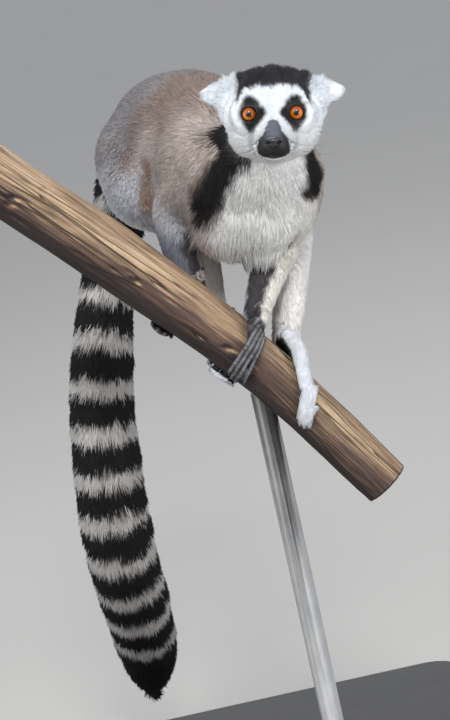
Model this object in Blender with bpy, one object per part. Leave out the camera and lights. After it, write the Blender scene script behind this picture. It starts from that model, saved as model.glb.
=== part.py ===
"""A life-size ring-tailed lemur, standing on a short sloping perch held by a plain display stand.

The solids follow the outer surface of the coat. The body is blended from lofted tubes and ellipsoids,
and thin cuts then part it where the head, neck, trunk and limbs meet. Units are metres, +Z is up, the
origin is the middle of the base's underside, and the animal faces -Y.
"""

import math

import bmesh
import bpy
import numpy as np
from mathutils import Matrix, Vector

MM = 0.001
GAP = 0.3 * MM  # left between solids that touch

# Display stand
BASE_WIDTH = 400 * MM
BASE_DEPTH = 420 * MM
BASE_THICKNESS = 25 * MM
BASE_CORNER = 40 * MM
BASE_BEVEL = 3 * MM
CORNER_STEPS = 5
ROD_RADIUS = 9 * MM
ROD_X = 52 * MM
ROD_COLLAR_RADIUS = 19 * MM
ROD_COLLAR_HEIGHT = 8 * MM
ROD_COLLAR_BEVEL = 2 * MM
ROD_SIDES = 16
ROD_TOP = 440 * MM  # before the perch is cut out of it
ROD_ALONG_PERCH = 12  # mm down the perch from the left hand

# Perch: its axis runs down to the animal's left, from the thick end to the thin one (mm)
PERCH_AXIS = (
    (-130, -98, 653),
    (-49, -103, 568),
    (50, -110, 455),
    (136, -120, 331),
)
PERCH_RADII = (26, 25, 22.5, 20)
PERCH_GRIP = (50, -110, 455)  # distances along the perch count from here
PERCH_SIDES = 16
KNOT_ALONG = 0.36  # share of the perch's length
KNOT_TURN = 1.75
KNOT_HEIGHT = 2.4

# Head: every head size is (right, forward, up) from the middle of the line between the eyes, in mm
EYE_LINE = Vector((104, -165, 650)) * MM
HEAD_FORWARD = Vector((-0.052, -0.991, 0.125)).normalized()
HEAD_RIGHT = Vector((0.981, -0.074, -0.175))
EYE_SPREAD = 17.8
EYE_SET = -3.0
EYE_RADIUS = 7.5
ORBIT_SET = -8.0
ORBIT_RADIUS = 11.8
NOSE_CENTRE = (0, 33.5, -18.5)
NOSE_RADII = (6.6, 5.6, 4.8)
SEAT_GAP = 0.4  # between the eyes or nose and the head
# Skull, face, brow and throat: centre and radii
SKULL_BALLS = (
    ((0, -29, 4), (31, 34, 31)),
    ((1, -15, -5), (35, 18, 27)),
    ((0, 0, 5), (11, 9, 13)),
    ((1, -8, -24), (21, 22, 14)),
)
# On each side, at plus and minus its first number: brow and cheek
SIDE_BALLS = (
    ((13, -6, 13), (13, 8, 9)),
    ((18, -15, -17), (15, 17, 16.5)),
)
# Muzzle: centre, half width and half height, from between the eyes to the nose
MUZZLE = (
    ((0, -8, -10), 22, 21),
    ((0, 6, -14.5), 18, 17),
    ((0, 17, -18.5), 14, 13.2),
    ((0, 26, -20.5), 12.3, 11),
    ((0, 32, -21.5), 10.4, 9.6),
    ((0, 36, -21.5), 7, 7),
)
# Ear: centre, half thickness and half height, out from inside the head
EAR = (
    ((22, -27, 14), 7, 15),
    ((31, -28, 15), 6.5, 16.5),
    ((39, -29, 16.5), 6, 16),
    ((47, -30.5, 18), 5, 13.5),
    ((53, -32, 19), 4, 9),
    ((56.5, -33, 19.5), 2, 3.5),
)
EAR_ROOT = (33.5, -29, 15.5)  # the cut between ear and head
EAR_ROOT_SLANT = 0.42
FACE_CENTRE = (0, -30, 5)
FACE_REACH = 62 * MM  # the fine triangles lie this near to the face's centre

# Trunk: centre, half width and half height (mm) from the nape to the tail's root
TRUNK = (
    ((103, -128, 642), 27, 27),
    ((97, -110, 622), 36, 34),
    ((88, -90, 602), 48, 48),
    ((78, -64, 590), 55, 60),
    ((66, -34, 598), 57, 64),
    ((50, 2, 612), 57, 67),
    ((32, 38, 618), 55, 62),
    ((12, 66, 616), 49, 54),
    ((-8, 86, 608), 33, 36),
    ((-18, 100, 596), 24, 26),
)

# Limbs: joint centres and the coat's half widths there (mm)
ARM_RIGHT = (
    ((60, -84, 604), 28),
    ((38, -64, 592), 25),
    ((17, -42, 578), 19),
    ((14, -52, 546), 16),
    ((18, -64, 508), 11.5),
)
ARM_LEFT = (
    ((114, -98, 600), 28),
    ((110, -86, 566), 23),
    ((95, -66, 536), 17),
    ((73, -90, 507), 13.5),
    ((57, -119, 483), 9.5),
)
LEG_RIGHT = (
    ((0, 44, 606), 36),
    ((-2, 20, 590), 41),
    ((22, -8, 562), 26),
    ((27, -30, 520), 16),
    ((27, -52, 474), 11.5),
)
LEG_LEFT = (
    ((72, 44, 602), 30),
    ((84, 22, 582), 36),
    ((106, -14, 548), 22),
    ((96, -48, 500), 15.5),
    ((80, -84, 452), 11),
)

# Tail: centre line and the coat's radius (mm), from the root to the tip
TAIL = (
    ((-12, 88, 612), 22),
    ((-24, 108, 592), 23),
    ((-34, 114, 560), 24),
    ((-50, 112, 522), 24),
    ((-64, 103, 483), 25),
    ((-77, 94, 441), 27.5),
    ((-88, 88, 397), 29),
    ((-95, 86, 351), 30.5),
    ((-101, 89, 302), 31.5),
    ((-104, 99, 257), 32.5),
    ((-105, 118, 212), 32.5),
    ((-105, 143, 169), 31.5),
    ((-107, 177, 120), 29),
    ((-110, 197, 92), 24),
    ((-113, 212, 69), 15),
    ((-114, 221, 54), 4),
)
TAIL_CUTS = (5, 8, 10, 12)  # TAIL rows where one length ends and the next begins
TAIL_SIDES = 12

# Shoulders, haunches and breast under the coat: centre and radii (mm)
MUSCLES = (
    ((60, -80, 602), (36, 40, 44)),
    ((106, -88, 596), (32, 38, 42)),
    ((3, 50, 606), (49, 51, 51)),
    ((54, 60, 606), (44, 50, 48)),
    ((82, -95, 574), (40, 34, 42)),
    ((58, -86, 568), (34, 33, 38)),
)
# Planes that part the trunk: the piece before the plane, a point on it and the way it faces
TRUNK_CUTS = (
    ("head", (101, -121, 634), (-0.22, 0.66, -0.72)),
    ("neck", (93, -100, 613), (-0.33, 0.78, -0.53)),
    ("chest", (60, -22, 604), (-0.38, 0.88, 0.28)),
    ("belly", (36, 30, 616), (-0.42, 0.9, 0.08)),
)

# Triangles left in each finished body
BODY_TRIANGLES = 1050
HEAD_TRIANGLES = 1000
ARM_TRIANGLES = 220
LEG_TRIANGLES = 250
HAND_TRIANGLES = 440
FOOT_TRIANGLES = 460
VOXEL = 2.6 * MM
DIGIT_VOXEL = 1.2 * MM
LIMB_SIDES = 14
LIMB_STEPS = 3
JOINT_ROW = 2  # the limb station at the elbow or knee
GRIP_CLEARANCE = 0.35  # mm between the perch and what lies on it
KNUCKLE_ARCH = 1.5  # mm that a finger's first knuckle stands off the perch
WRIST_OVERLAP = 9  # mm that a limb reaches into its hand or foot before the square cut

WHITE_COAT = ((0.78, 0.76, 0.72), 0.9, 0.0)
GREY_COAT = ((0.30, 0.27, 0.25), 0.9, 0.0)
PALE_GREY_COAT = ((0.42, 0.43, 0.45), 0.9, 0.0)
BROWN_COAT = ((0.29, 0.22, 0.18), 0.9, 0.0)
DARK_SKIN = ((0.03, 0.03, 0.035), 0.55, 0.0)
NOSE_SKIN = ((0.012, 0.012, 0.015), 0.28, 0.0)
IRIS_AMBER = ((0.70, 0.24, 0.03), 0.06, 0.0)
RINGED_COAT = ((0.22, 0.21, 0.21), 0.9, 0.0)
DRY_WOOD = ((0.36, 0.25, 0.14), 0.8, 0.0)
STEEL = ((0.45, 0.45, 0.45), 0.35, 1.0)
BASE_LACQUER = ((0.04, 0.04, 0.04), 0.4, 0.0)
TRUNK_FINISH = {
    "head": WHITE_COAT,
    "neck": GREY_COAT,
    "chest": WHITE_COAT,
    "belly": BROWN_COAT,
    "rump": PALE_GREY_COAT,
}


def clear_scene():
    for obj in list(bpy.data.objects):
        bpy.data.objects.remove(obj, do_unlink=True)


def material(name, finish):
    colour, roughness, metallic = finish
    made = bpy.data.materials.get(name) or bpy.data.materials.new(name)
    made.use_nodes = True
    shader = made.node_tree.nodes["Principled BSDF"]
    shader.inputs["Base Color"].default_value = (*colour, 1.0)
    shader.inputs["Roughness"].default_value = roughness
    shader.inputs["Metallic"].default_value = metallic
    return made


def named(obj, name, finish, sharp=180.0):
    """Names a finished solid, gives it its material and shades it smooth."""
    obj.name = name
    obj.data.name = name
    obj.data.materials.clear()
    obj.data.materials.append(material(name, finish))
    obj.data.shade_smooth()
    obj.data.set_sharp_from_angle(angle=math.radians(sharp))
    return obj


def object_from(bm, name):
    mesh = bpy.data.meshes.new(name)
    bm.to_mesh(mesh)
    bm.free()
    obj = bpy.data.objects.new(name, mesh)
    bpy.context.scene.collection.objects.link(obj)
    return obj


def vec(point):
    return Vector(point) * MM


def through(rows, steps):
    """Catmull-Rom samples through rows of numbers, with that many steps between two rows."""
    rows = np.asarray(rows, float)
    ends = np.vstack([2 * rows[0] - rows[1], rows, 2 * rows[-1] - rows[-2]])
    samples = []
    for i in range(1, len(ends) - 2):
        a, b, c, d = ends[i - 1 : i + 3]
        for t in np.arange(steps) / steps:
            square = (2 * a - 5 * b + 4 * c - d) * t**2
            cube = (3 * b - a - 3 * c + d) * t**3
            samples.append(0.5 * (2 * b + (c - a) * t + square + cube))
    samples.append(rows[-1])
    return np.array(samples)


def frames(rows, side_axis):
    """Centre, across, up and along at each row of a loft."""
    made = []
    for row, along in zip(rows, np.gradient(rows[:, :3], axis=0)):
        along = Vector(along).normalized()
        across = Vector(side_axis)
        across = (across - along * across.dot(along)).normalized()
        made.append((Vector(row[:3]), across, across.cross(along), along))
    return made


def tube(rows, sides, side_axis=(1, 0, 0), first=0, last=None, start_gap=0.0):
    """A closed loft of the rows from first to last. Each row is x, y, z, half width and half height in mm.
    The width lies along side_axis, and start_gap moves the first ring on."""
    bm = bmesh.new()
    last = len(rows) - 1 if last is None else last
    rings = []
    for n, (centre, across, up, along) in enumerate(frames(rows, side_axis)):
        if not first <= n <= last:
            continue
        wide, high = rows[n, 3:5]
        centre = centre + along * (start_gap if n == first else 0.0)
        ring = []
        for k in range(sides):
            turn = 2 * math.pi * k / sides
            offset = across * (wide * math.cos(turn)) + up * (high * math.sin(turn))
            ring.append(bm.verts.new((centre + offset) * MM))
        rings.append(ring)
    for low, top in zip(rings, rings[1:]):
        for k in range(sides):
            bm.faces.new((low[k], low[(k + 1) % sides], top[(k + 1) % sides], top[k]))
    bm.faces.new(rings[0])
    bm.faces.new(rings[-1])
    bmesh.ops.recalc_face_normals(bm, faces=bm.faces)
    bmesh.ops.triangulate(bm, faces=bm.faces, quad_method="FIXED")
    return object_from(bm, "tube")


def station_rows(stations, steps, swell=0.0):
    """Rows through (centre, half width[, half height]) stations."""
    return through([(*s[0], s[1] + swell, s[-1] + swell) for s in stations], steps)


def round_tube(stations, sides=16, steps=4):
    return tube(station_rows(stations, steps), sides)


def ball(centre, radii, axes=None, level=3):
    """An ellipsoid: centre in metres, radii in mm along the three axes."""
    bm = bmesh.new()
    turn = Matrix.Identity(3) if axes is None else Matrix(axes).transposed()
    place = Matrix.Translation(centre) @ turn.to_4x4() @ Matrix.Diagonal((*(r * MM for r in radii), 1))
    bmesh.ops.create_icosphere(bm, subdivisions=level, radius=1.0, matrix=place)
    bmesh.ops.recalc_face_normals(bm, faces=bm.faces)
    return object_from(bm, "ball")


def joined(objects):
    """One object holding the meshes of several."""
    bm = bmesh.new()
    for obj in objects:
        bm.from_mesh(obj.data)
        bpy.data.objects.remove(obj, do_unlink=True)
    return object_from(bm, "joined")


def baked(obj):
    """The object with its modifiers applied."""
    evaluated = obj.evaluated_get(bpy.context.evaluated_depsgraph_get())
    mesh = bpy.data.meshes.new_from_object(evaluated)
    obj.modifiers.clear()
    obj.data = mesh
    return obj


def blended(objects, voxel, rounds):
    """Several overlapping shapes melted into one smooth skin."""
    obj = joined(objects)
    remesh = obj.modifiers.new("Melt", "REMESH")
    remesh.mode = "VOXEL"
    remesh.voxel_size = voxel
    smooth = obj.modifiers.new("Smooth", "SMOOTH")
    smooth.factor = 0.5
    smooth.iterations = rounds
    return baked(obj)


def thinned(obj, triangles, weights=None):
    """Collapsed to about that many triangles, only where the weights are above nought."""
    now = sum(len(face.vertices) - 2 for face in obj.data.polygons)
    decimate = obj.modifiers.new("Thin", "DECIMATE")
    decimate.ratio = min(1.0, triangles / now)
    decimate.use_collapse_triangulate = True
    if weights is not None:
        group = obj.vertex_groups.new(name="thin")
        for index, weight in enumerate(weights):
            group.add([index], float(weight), "REPLACE")
        decimate.vertex_group = group.name
    baked(obj)
    obj.vertex_groups.clear()
    return obj


def carved(obj, cutter):
    """The object less the cutter's space."""
    boolean = obj.modifiers.new("Cut", "BOOLEAN")
    boolean.operation = "DIFFERENCE"
    boolean.solver = "EXACT"
    boolean.object = cutter
    baked(obj)
    bpy.data.objects.remove(cutter, do_unlink=True)
    return obj


def duplicate(obj):
    copy = obj.copy()
    copy.data = obj.data.copy()
    bpy.context.scene.collection.objects.link(copy)
    return copy


def half_space(point, normal, reach, thickness):
    """A block whose near face passes through the point and which extends along the normal."""
    normal = Vector(normal).normalized()
    turn = normal.to_track_quat("Z", "Y").to_matrix().to_4x4()
    bm = bmesh.new()
    bmesh.ops.create_cube(bm, size=1.0)
    bmesh.ops.scale(bm, vec=(2 * reach * MM, 2 * reach * MM, thickness * MM), verts=bm.verts)
    bmesh.ops.translate(bm, vec=(0, 0, thickness * MM / 2), verts=bm.verts)
    bmesh.ops.transform(bm, matrix=Matrix.Translation(vec(point)) @ turn, verts=bm.verts)
    return object_from(bm, "half_space")


def largest_body(obj):
    """The object with every body but its largest removed, such as the crumbs that a cut leaves."""
    bm = bmesh.new()
    bm.from_mesh(obj.data)
    bodies = []
    seen = set()
    for start in bm.verts:
        if start in seen:
            continue
        body = [start]
        seen.add(start)
        for vert in body:
            for edge in vert.link_edges:
                other = edge.other_vert(vert)
                if other not in seen:
                    seen.add(other)
                    body.append(other)
        bodies.append(body)
    bodies.sort(key=len)
    for body in bodies[:-1]:
        bmesh.ops.delete(bm, geom=body, context="VERTS")
    bm.to_mesh(obj.data)
    bm.free()
    return obj


# --- perch -----------------------------------------------------------------------------------------


def perch_rows(swell=0.0):
    rows = [(*point, radius + swell, radius + swell) for point, radius in zip(PERCH_AXIS, PERCH_RADII)]
    return through(rows, 5)


def knot_swell(row_index, rows_total, turn):
    """How far the wood stands out, in mm, by knots and gentle waves along the perch."""
    along = row_index / (rows_total - 1)
    wave = 0.5 * math.sin(11 * along + 2 * turn) + 0.35 * math.sin(23 * along - 3 * turn)
    knot = KNOT_HEIGHT * math.exp(-(((along - KNOT_ALONG) / 0.045) ** 2) - ((turn - KNOT_TURN) / 0.45) ** 2)
    return wave + knot


def perch_solid(swell=0.0):
    rows = perch_rows(swell)
    obj = tube(rows, PERCH_SIDES, side_axis=(0, -1, 0))
    for n, vert in enumerate(obj.data.vertices):
        ring, step = divmod(n, PERCH_SIDES)
        turn = math.remainder(2 * math.pi * step / PERCH_SIDES, 2 * math.pi)
        centre = Vector(rows[ring][:3]) * MM
        out = (vert.co - centre).normalized()
        vert.co += out * knot_swell(ring, len(rows), turn) * MM
    return obj


def on_perch(along, turn, lift):
    """A point in mm beside the perch: distance along it, turn in degrees (0 top, 90 front, 180 under)
    and height over its surface."""
    rows = through([(*p, r, r) for p, r in zip(PERCH_AXIS, PERCH_RADII)], 40)
    centres = rows[:, :3]
    lengths = np.concatenate([[0], np.cumsum(np.linalg.norm(np.diff(centres, axis=0), axis=1))])
    start = lengths[np.argmin(np.linalg.norm(centres - np.array(PERCH_GRIP), axis=1))]
    here = np.array([np.interp(start + along, lengths, rows[:, k]) for k in range(4)])
    ahead = np.array([np.interp(start + along + 1, lengths, rows[:, k]) for k in range(3)])
    axis = Vector(ahead - here[:3]).normalized()
    top = (Vector((0, 0, 1)) - axis * axis.z).normalized()
    front = axis.cross(top)
    turn = math.radians(turn)
    out = top * math.cos(turn) + front * math.sin(turn)
    return Vector(here[:3]) + out * (here[3] + lift)


# --- head ------------------------------------------------------------------------------------------


def head_axes():
    forward = HEAD_FORWARD
    right = (HEAD_RIGHT - forward * HEAD_RIGHT.dot(forward)).normalized()
    return right, forward, forward.cross(right)


def in_head(right, forward, up):
    x, f, z = head_axes()
    return EYE_LINE + (x * right + f * forward + z * up) * MM


def head_ball(centre, radii, level=3):
    return ball(in_head(*centre), radii, head_axes(), level)


def head_tube(stations, sides, side_axis, side=1):
    """A loft of (centre, half width, half height) stations, mirrored to the right ear's side by side -1."""
    rows = [(*(in_head(side * x, f, z) / MM), wide, high) for (x, f, z), wide, high in stations]
    return tube(through(rows, 3), sides, side_axis)


def head_shapes():
    right, forward, _ = head_axes()
    shapes = [head_ball(centre, radii) for centre, radii in SKULL_BALLS]
    shapes.append(head_tube(MUZZLE, 20, right))
    for side in (-1, 1):
        shapes.append(head_ball((side * EYE_SPREAD, ORBIT_SET, 0), (ORBIT_RADIUS,) * 3))
        for (x, f, z), radii in SIDE_BALLS:
            shapes.append(head_ball((side * x, f, z), radii))
        shapes.append(head_tube(EAR, 16, forward, side))
    return shapes


# --- hands and feet --------------------------------------------------------------------------------


def gripping(path, sides, steps):
    """A tube beside the perch through (along, turn, lift, half width, half thickness) rows."""
    rows = []
    for along, turn, lift, wide, thick in through(path, steps):
        rows.append((*on_perch(along, turn, lift), wide, thick))
    return tube(np.array(rows), sides, side_axis=Vector(PERCH_AXIS[2]) - Vector(PERCH_AXIS[1]))


def digit(start, end, lift, radius):
    """A finger or toe that bends round the perch from (along, turn) to (along, turn), arched at the knuckle,
    swollen at its joints and tapering to a round tip."""
    path = []
    for t in (0.0, 0.25, 0.5, 0.75, 0.92, 1.0):
        along, turn = (a + (b - a) * t for a, b in zip(start, end))
        tip = 0.55 if t == 1.0 else 1.0
        bulge = radius * (1.08 - 0.1 * math.cos(6 * math.pi * t) - 0.3 * t) * tip
        arch = KNUCKLE_ARCH * math.sin(math.pi * min(1.0, 2 * t))
        height = lift * (1 - t) + (radius * 0.95 + 0.3) * t + arch
        path.append((along, turn, height, bulge, bulge))
    return gripping(path, sides=8, steps=2)


def limb_end(limb):
    """Where a limb's last ring lies, and the way it faces."""
    centre, _, _, along = frames(station_rows(limb, LIMB_STEPS), (1, 0, 0))[-1]
    return centre, along


def hand_or_foot(palm, digits, limb, triangles):
    """Palm or sole and digits melted together, hollowed for the perch and cut square where the limb ends."""
    centre, along = limb_end(limb)
    wrist = limb[-1][1]
    stub = [(centre - along * WRIST_OVERLAP, wrist * 1.04), (centre + along * 2, wrist)]
    first = on_perch(*palm[0][:3])
    shapes = [gripping(palm, 10, 4), round_tube((*stub, (first, palm[0][3], palm[0][4])))]
    shapes += [digit(*row) for row in digits]
    obj = thinned(blended(shapes, DIGIT_VOXEL, 3), triangles)
    carved(obj, perch_solid(GRIP_CLEARANCE))
    carved(obj, half_space(centre + along * (GAP / MM), -along, 40, 40))
    return largest_body(obj)


# Rows are (along, turn, lift, half width, half thickness); digits run from (along, turn) to (along, turn)
HANDS = {
    "left": (
        ((-17, 34, 10.5, 7.5, 8), (-11, 47, 8.5, 8.5, 6.5), (-6, 59, 7, 9, 5.5), (-3, 72, 6, 8.8, 5)),
        (
            ((-9, 68), (-8, 130), 5.5, 3.0),
            ((-4.5, 70), (-4, 140), 6, 3.1),
            ((0, 70), (0.5, 140), 6, 3.1),
            ((4, 67), (5, 128), 5.5, 2.9),
            ((-18, 33), (-21, -52), 6, 3.3),
        ),
    ),
    "right": (
        ((-72, -62, 11, 9, 8), (-72, -84, 8.5, 10, 6.5), (-71, -100, 7, 10.5, 5.5), (-70, -114, 6, 10, 5)),
        (
            ((-79, -108), (-80, -186), 5.5, 3.1),
            ((-73.5, -110), (-74, -196), 6, 3.2),
            ((-68, -110), (-68, -194), 6, 3.2),
            ((-63, -108), (-62, -182), 5.5, 3.0),
            ((-70, -64), (-72, 4), 7, 3.4),
        ),
    ),
}
FEET = {
    "left": (
        ((9, -16, 11, 7.5, 7.5), (20, 6, 11, 8.5, 8.5), (31, 30, 9, 8.5, 7), (44, 50, 7.5, 8.8, 5.8),
         (52, 62, 6.5, 9, 5.2)),
        (
            ((48, 67), (58, 106), 6, 3.0),
            ((52.5, 66), (62, 112), 6.2, 3.1),
            ((57, 64), (66, 112), 6.2, 3.1),
            ((60.5, 59), (69, 104), 6, 2.9),
            ((26, 2), (34, -88), 8, 4.4),
        ),
    ),
    "right": (
        ((-40, -88, 14, 7.5, 8), (-33, -102, 13, 9, 8.5), (-24, -122, 9.5, 10, 7), (-14, -142, 7.5, 12, 5.8),
         (-9, -152, 6.5, 13, 5.2)),
        (
            ((-19, -150), (-23, -194), 6, 3.4),
            ((-12.5, -154), (-14, -202), 6.2, 3.5),
            ((-5.5, -154), (-4.5, -202), 6.2, 3.5),
            ((1, -150), (4.5, -192), 6, 3.3),
            ((-33, -84), (-34, -34), 9, 4.2),
        ),
    ),
}


# --- body ------------------------------------------------------------------------------------------


def tail_solid(number, swell=0.0):
    """One length of the tail. Number 0 is the root, whose swollen copy carves its seat in the rump."""
    bounds = (0, *TAIL_CUTS, len(TAIL) - 1)
    rows = station_rows(TAIL, 2, swell)
    gap = -swell if number == 0 else GAP / MM
    return tube(rows, TAIL_SIDES, (1, 0, 0), 2 * bounds[number], 2 * bounds[number + 1], gap)


def limb_body(limb, triangles):
    """A whole limb as one smooth solid, from inside the trunk to where the hand or foot begins."""
    centre, along = limb_end(limb)
    longer = (*limb, (tuple(centre + along * WRIST_OVERLAP), limb[-1][1]))
    obj = thinned(blended([round_tube(longer, LIMB_SIDES, LIMB_STEPS)], VOXEL, 4), triangles)
    carved(obj, half_space(centre, along, 26, 26))
    return obj


def swollen(obj):
    """A copy whose surface stands out by the gap, to carve a neighbour with."""
    copy = duplicate(obj)
    displace = copy.modifiers.new("Swell", "DISPLACE")
    displace.mid_level = 0.0
    displace.strength = GAP
    return baked(copy)


def limb_solids(obj, limb, names, finish):
    """The two lengths of a limb, parted at its elbow or knee."""
    row = JOINT_ROW * LIMB_STEPS
    centre, _, _, along = frames(station_rows(limb, LIMB_STEPS), (1, 0, 0))[row]
    pieces, lower = sliced(obj, ((names[0], centre, along),))
    upper = pieces[0][1]
    return named(largest_body(upper), names[0], finish), named(largest_body(lower), names[1], finish)


def trunk_and_head():
    """The head, neck and trunk as one smooth body, finer over the face."""
    shapes = head_shapes()
    shapes.append(round_tube(TRUNK, 24))
    for centre, radii in MUSCLES:
        shapes.append(ball(vec(centre), radii))
    obj = blended(shapes, VOXEL, 6)
    face = in_head(*FACE_CENTRE)
    far = [(v.co - face).length > FACE_REACH for v in obj.data.vertices]
    near = sum(len(f.vertices) - 2 for f in obj.data.polygons if (f.center - face).length < FACE_REACH)
    thinned(obj, near + BODY_TRIANGLES, far)
    near_only = [(v.co - face).length <= FACE_REACH for v in obj.data.vertices]
    return thinned(obj, BODY_TRIANGLES + HEAD_TRIANGLES, near_only)


def sliced(obj, cuts):
    """Parts a body by planes, given as (name of the piece before it, point, normal), and names the pieces."""
    pieces = []
    for name, point, normal in cuts:
        normal = Vector(normal).normalized()
        rest = duplicate(obj)
        carved(obj, half_space(point, normal, 150, 400))
        pieces.append((name, obj))
        obj = carved(rest, half_space(Vector(point) + normal * (GAP / MM), -normal, 150, 400))
    return pieces, obj


def build_body(limbs):
    """The head, ears, neck and trunk, with seats for the limbs, tail, eyes and nose."""
    whole = trunk_and_head()
    for limb in limbs:
        carved(whole, swollen(limb))
    carved(whole, tail_solid(0, GAP / MM))
    for side in (-1, 1):
        carved(whole, ball(in_head(side * EYE_SPREAD, EYE_SET, 0), (EYE_RADIUS + SEAT_GAP,) * 3, level=2))
    carved(whole, head_ball(NOSE_CENTRE, [r + SEAT_GAP for r in NOSE_RADII], level=2))
    pieces, rump = sliced(whole, TRUNK_CUTS)
    for name, obj in (*pieces, ("rump", rump)):
        largest_body(obj)
        if name == "head":
            part_ears(obj)
        named(largest_body(obj), name, TRUNK_FINISH[name])


def part_ears(head):
    for side, name in ((-1, "ear_right"), (1, "ear_left")):
        root = in_head(side * EAR_ROOT[0], *EAR_ROOT[1:]) / MM
        out = (head_axes()[0] * side + head_axes()[2] * EAR_ROOT_SLANT).normalized()
        rest = duplicate(head)
        carved(head, half_space(root, out, 45, 45))
        carved(rest, half_space(root + out * (GAP / MM), -out, 150, 150))
        named(largest_body(rest), name, WHITE_COAT)


def build_limbs():
    """Arms and legs with their hands and feet. Returns copies of the whole limbs, to seat in the trunk."""
    arms = {side: limb_body(limb, ARM_TRIANGLES) for side, limb in (("left", ARM_LEFT), ("right", ARM_RIGHT))}
    legs = {side: limb_body(limb, LEG_TRIANGLES) for side, limb in (("left", LEG_LEFT), ("right", LEG_RIGHT))}
    for side, leg in legs.items():
        carved(leg, swollen(arms[side]))
        largest_body(leg)
    wholes = [duplicate(limb) for limb in (*arms.values(), *legs.values())]
    for side, arm_rows, leg_rows in (("left", ARM_LEFT, LEG_LEFT), ("right", ARM_RIGHT, LEG_RIGHT)):
        for limb in (arms[side], legs[side]):
            carved(limb, perch_solid(GRIP_CLEARANCE))
        limb_solids(arms[side], arm_rows, (f"upper_arm_{side}", f"forearm_{side}"), GREY_COAT)
        limb_solids(legs[side], leg_rows, (f"thigh_{side}", f"shank_{side}"), PALE_GREY_COAT)
    hands = {}
    for side, rows in (("left", ARM_LEFT), ("right", ARM_RIGHT)):
        hands[side] = named(hand_or_foot(*HANDS[side], rows, HAND_TRIANGLES), f"hand_{side}", DARK_SKIN)
    for side, rows in (("left", LEG_LEFT), ("right", LEG_RIGHT)):
        foot = hand_or_foot(*FEET[side], rows, FOOT_TRIANGLES)
        for hand in hands.values():
            carved(foot, swollen(hand))
        named(largest_body(foot), f"foot_{side}", PALE_GREY_COAT)
    return wholes


def build_tail():
    for number in range(len(TAIL_CUTS) + 1):
        named(tail_solid(number), f"tail_{number + 1}", RINGED_COAT)


def build_face():
    for side, name in ((-1, "eye_right"), (1, "eye_left")):
        named(ball(in_head(side * EYE_SPREAD, EYE_SET, 0), (EYE_RADIUS,) * 3, level=2), name, IRIS_AMBER)
    named(head_ball(NOSE_CENTRE, NOSE_RADII, level=2), "nose", NOSE_SKIN)


# --- stand -----------------------------------------------------------------------------------------


def build_base():
    """A flat board with round corners and an eased upper edge."""
    bm = bmesh.new()
    outline = []
    for quarter, (sx, sy) in enumerate(((1, 1), (-1, 1), (-1, -1), (1, -1))):
        centre = Vector((sx * (BASE_WIDTH / 2 - BASE_CORNER), sy * (BASE_DEPTH / 2 - BASE_CORNER), 0))
        for step in range(CORNER_STEPS + 1):
            turn = math.radians(90 * (quarter + step / CORNER_STEPS))
            outline.append(bm.verts.new(centre + Vector((math.cos(turn), math.sin(turn), 0)) * BASE_CORNER))
    floor = bm.faces.new(outline)
    raised = bmesh.ops.extrude_face_region(bm, geom=[floor])
    top = [v for v in raised["geom"] if isinstance(v, bmesh.types.BMVert)]
    bmesh.ops.translate(bm, vec=(0, 0, BASE_THICKNESS), verts=top)
    bmesh.ops.recalc_face_normals(bm, faces=bm.faces)
    rim = [e for e in bm.edges if all(v.co.z > BASE_THICKNESS / 2 for v in e.verts)]
    bmesh.ops.bevel(bm, geom=rim, offset=BASE_BEVEL, segments=1, profile=0.5, affect="EDGES")
    named(object_from(bm, "base"), "stand_base", BASE_LACQUER, sharp=40.0)


def build_rod():
    """A steel rod with a low collar, its top cut to the perch's underside."""
    profile = (
        (ROD_COLLAR_RADIUS, 0.0),
        (ROD_COLLAR_RADIUS, ROD_COLLAR_HEIGHT - ROD_COLLAR_BEVEL),
        (ROD_COLLAR_RADIUS - ROD_COLLAR_BEVEL, ROD_COLLAR_HEIGHT),
        (ROD_RADIUS, ROD_COLLAR_HEIGHT),
        (ROD_RADIUS, ROD_TOP - BASE_THICKNESS),
    )
    axis = Vector((ROD_X, on_perch(ROD_ALONG_PERCH, 0, 0).y * MM, BASE_THICKNESS + GAP))
    bm = bmesh.new()
    rings = []
    for radius, height in profile:
        ring = []
        for k in range(ROD_SIDES):
            turn = 2 * math.pi * k / ROD_SIDES
            out = Vector((radius * math.cos(turn), radius * math.sin(turn), height))
            ring.append(bm.verts.new(axis + out))
        rings.append(ring)
    for low, high in zip(rings, rings[1:]):
        for k in range(ROD_SIDES):
            bm.faces.new((low[k], low[(k + 1) % ROD_SIDES], high[(k + 1) % ROD_SIDES], high[k]))
    bm.faces.new(rings[0])
    bm.faces.new(rings[-1])
    bmesh.ops.recalc_face_normals(bm, faces=bm.faces)
    rod = carved(object_from(bm, "rod"), perch_solid(GRIP_CLEARANCE))
    named(largest_body(rod), "stand_rod", STEEL, sharp=40.0)


def build():
    clear_scene()
    wholes = build_limbs()
    build_body(wholes)
    for whole in wholes:
        bpy.data.objects.remove(whole, do_unlink=True)
    build_tail()
    build_face()
    named(perch_solid(), "perch", DRY_WOOD, sharp=60.0)
    build_rod()
    build_base()


build()
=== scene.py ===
"""Looks of the life-size ring-tailed lemur on its perch and stand.

One skin is melted from the flesh solids, sunk by the depth of the coat and given its face, hands and feet.
The coat is grown over it as fine solid tufts. Skin and coat take their markings from the same functions.
The frame is in metres with +Z up. Sizes marked mm are in millimetres, and MM turns them into metres.
"""

import math

import bpy
import numpy as np
from bpy.props import FloatProperty, FloatVectorProperty, IntProperty, PointerProperty
from mathutils import Matrix, Vector
from mathutils.bvhtree import BVHTree
from mathutils.kdtree import KDTree


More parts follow.
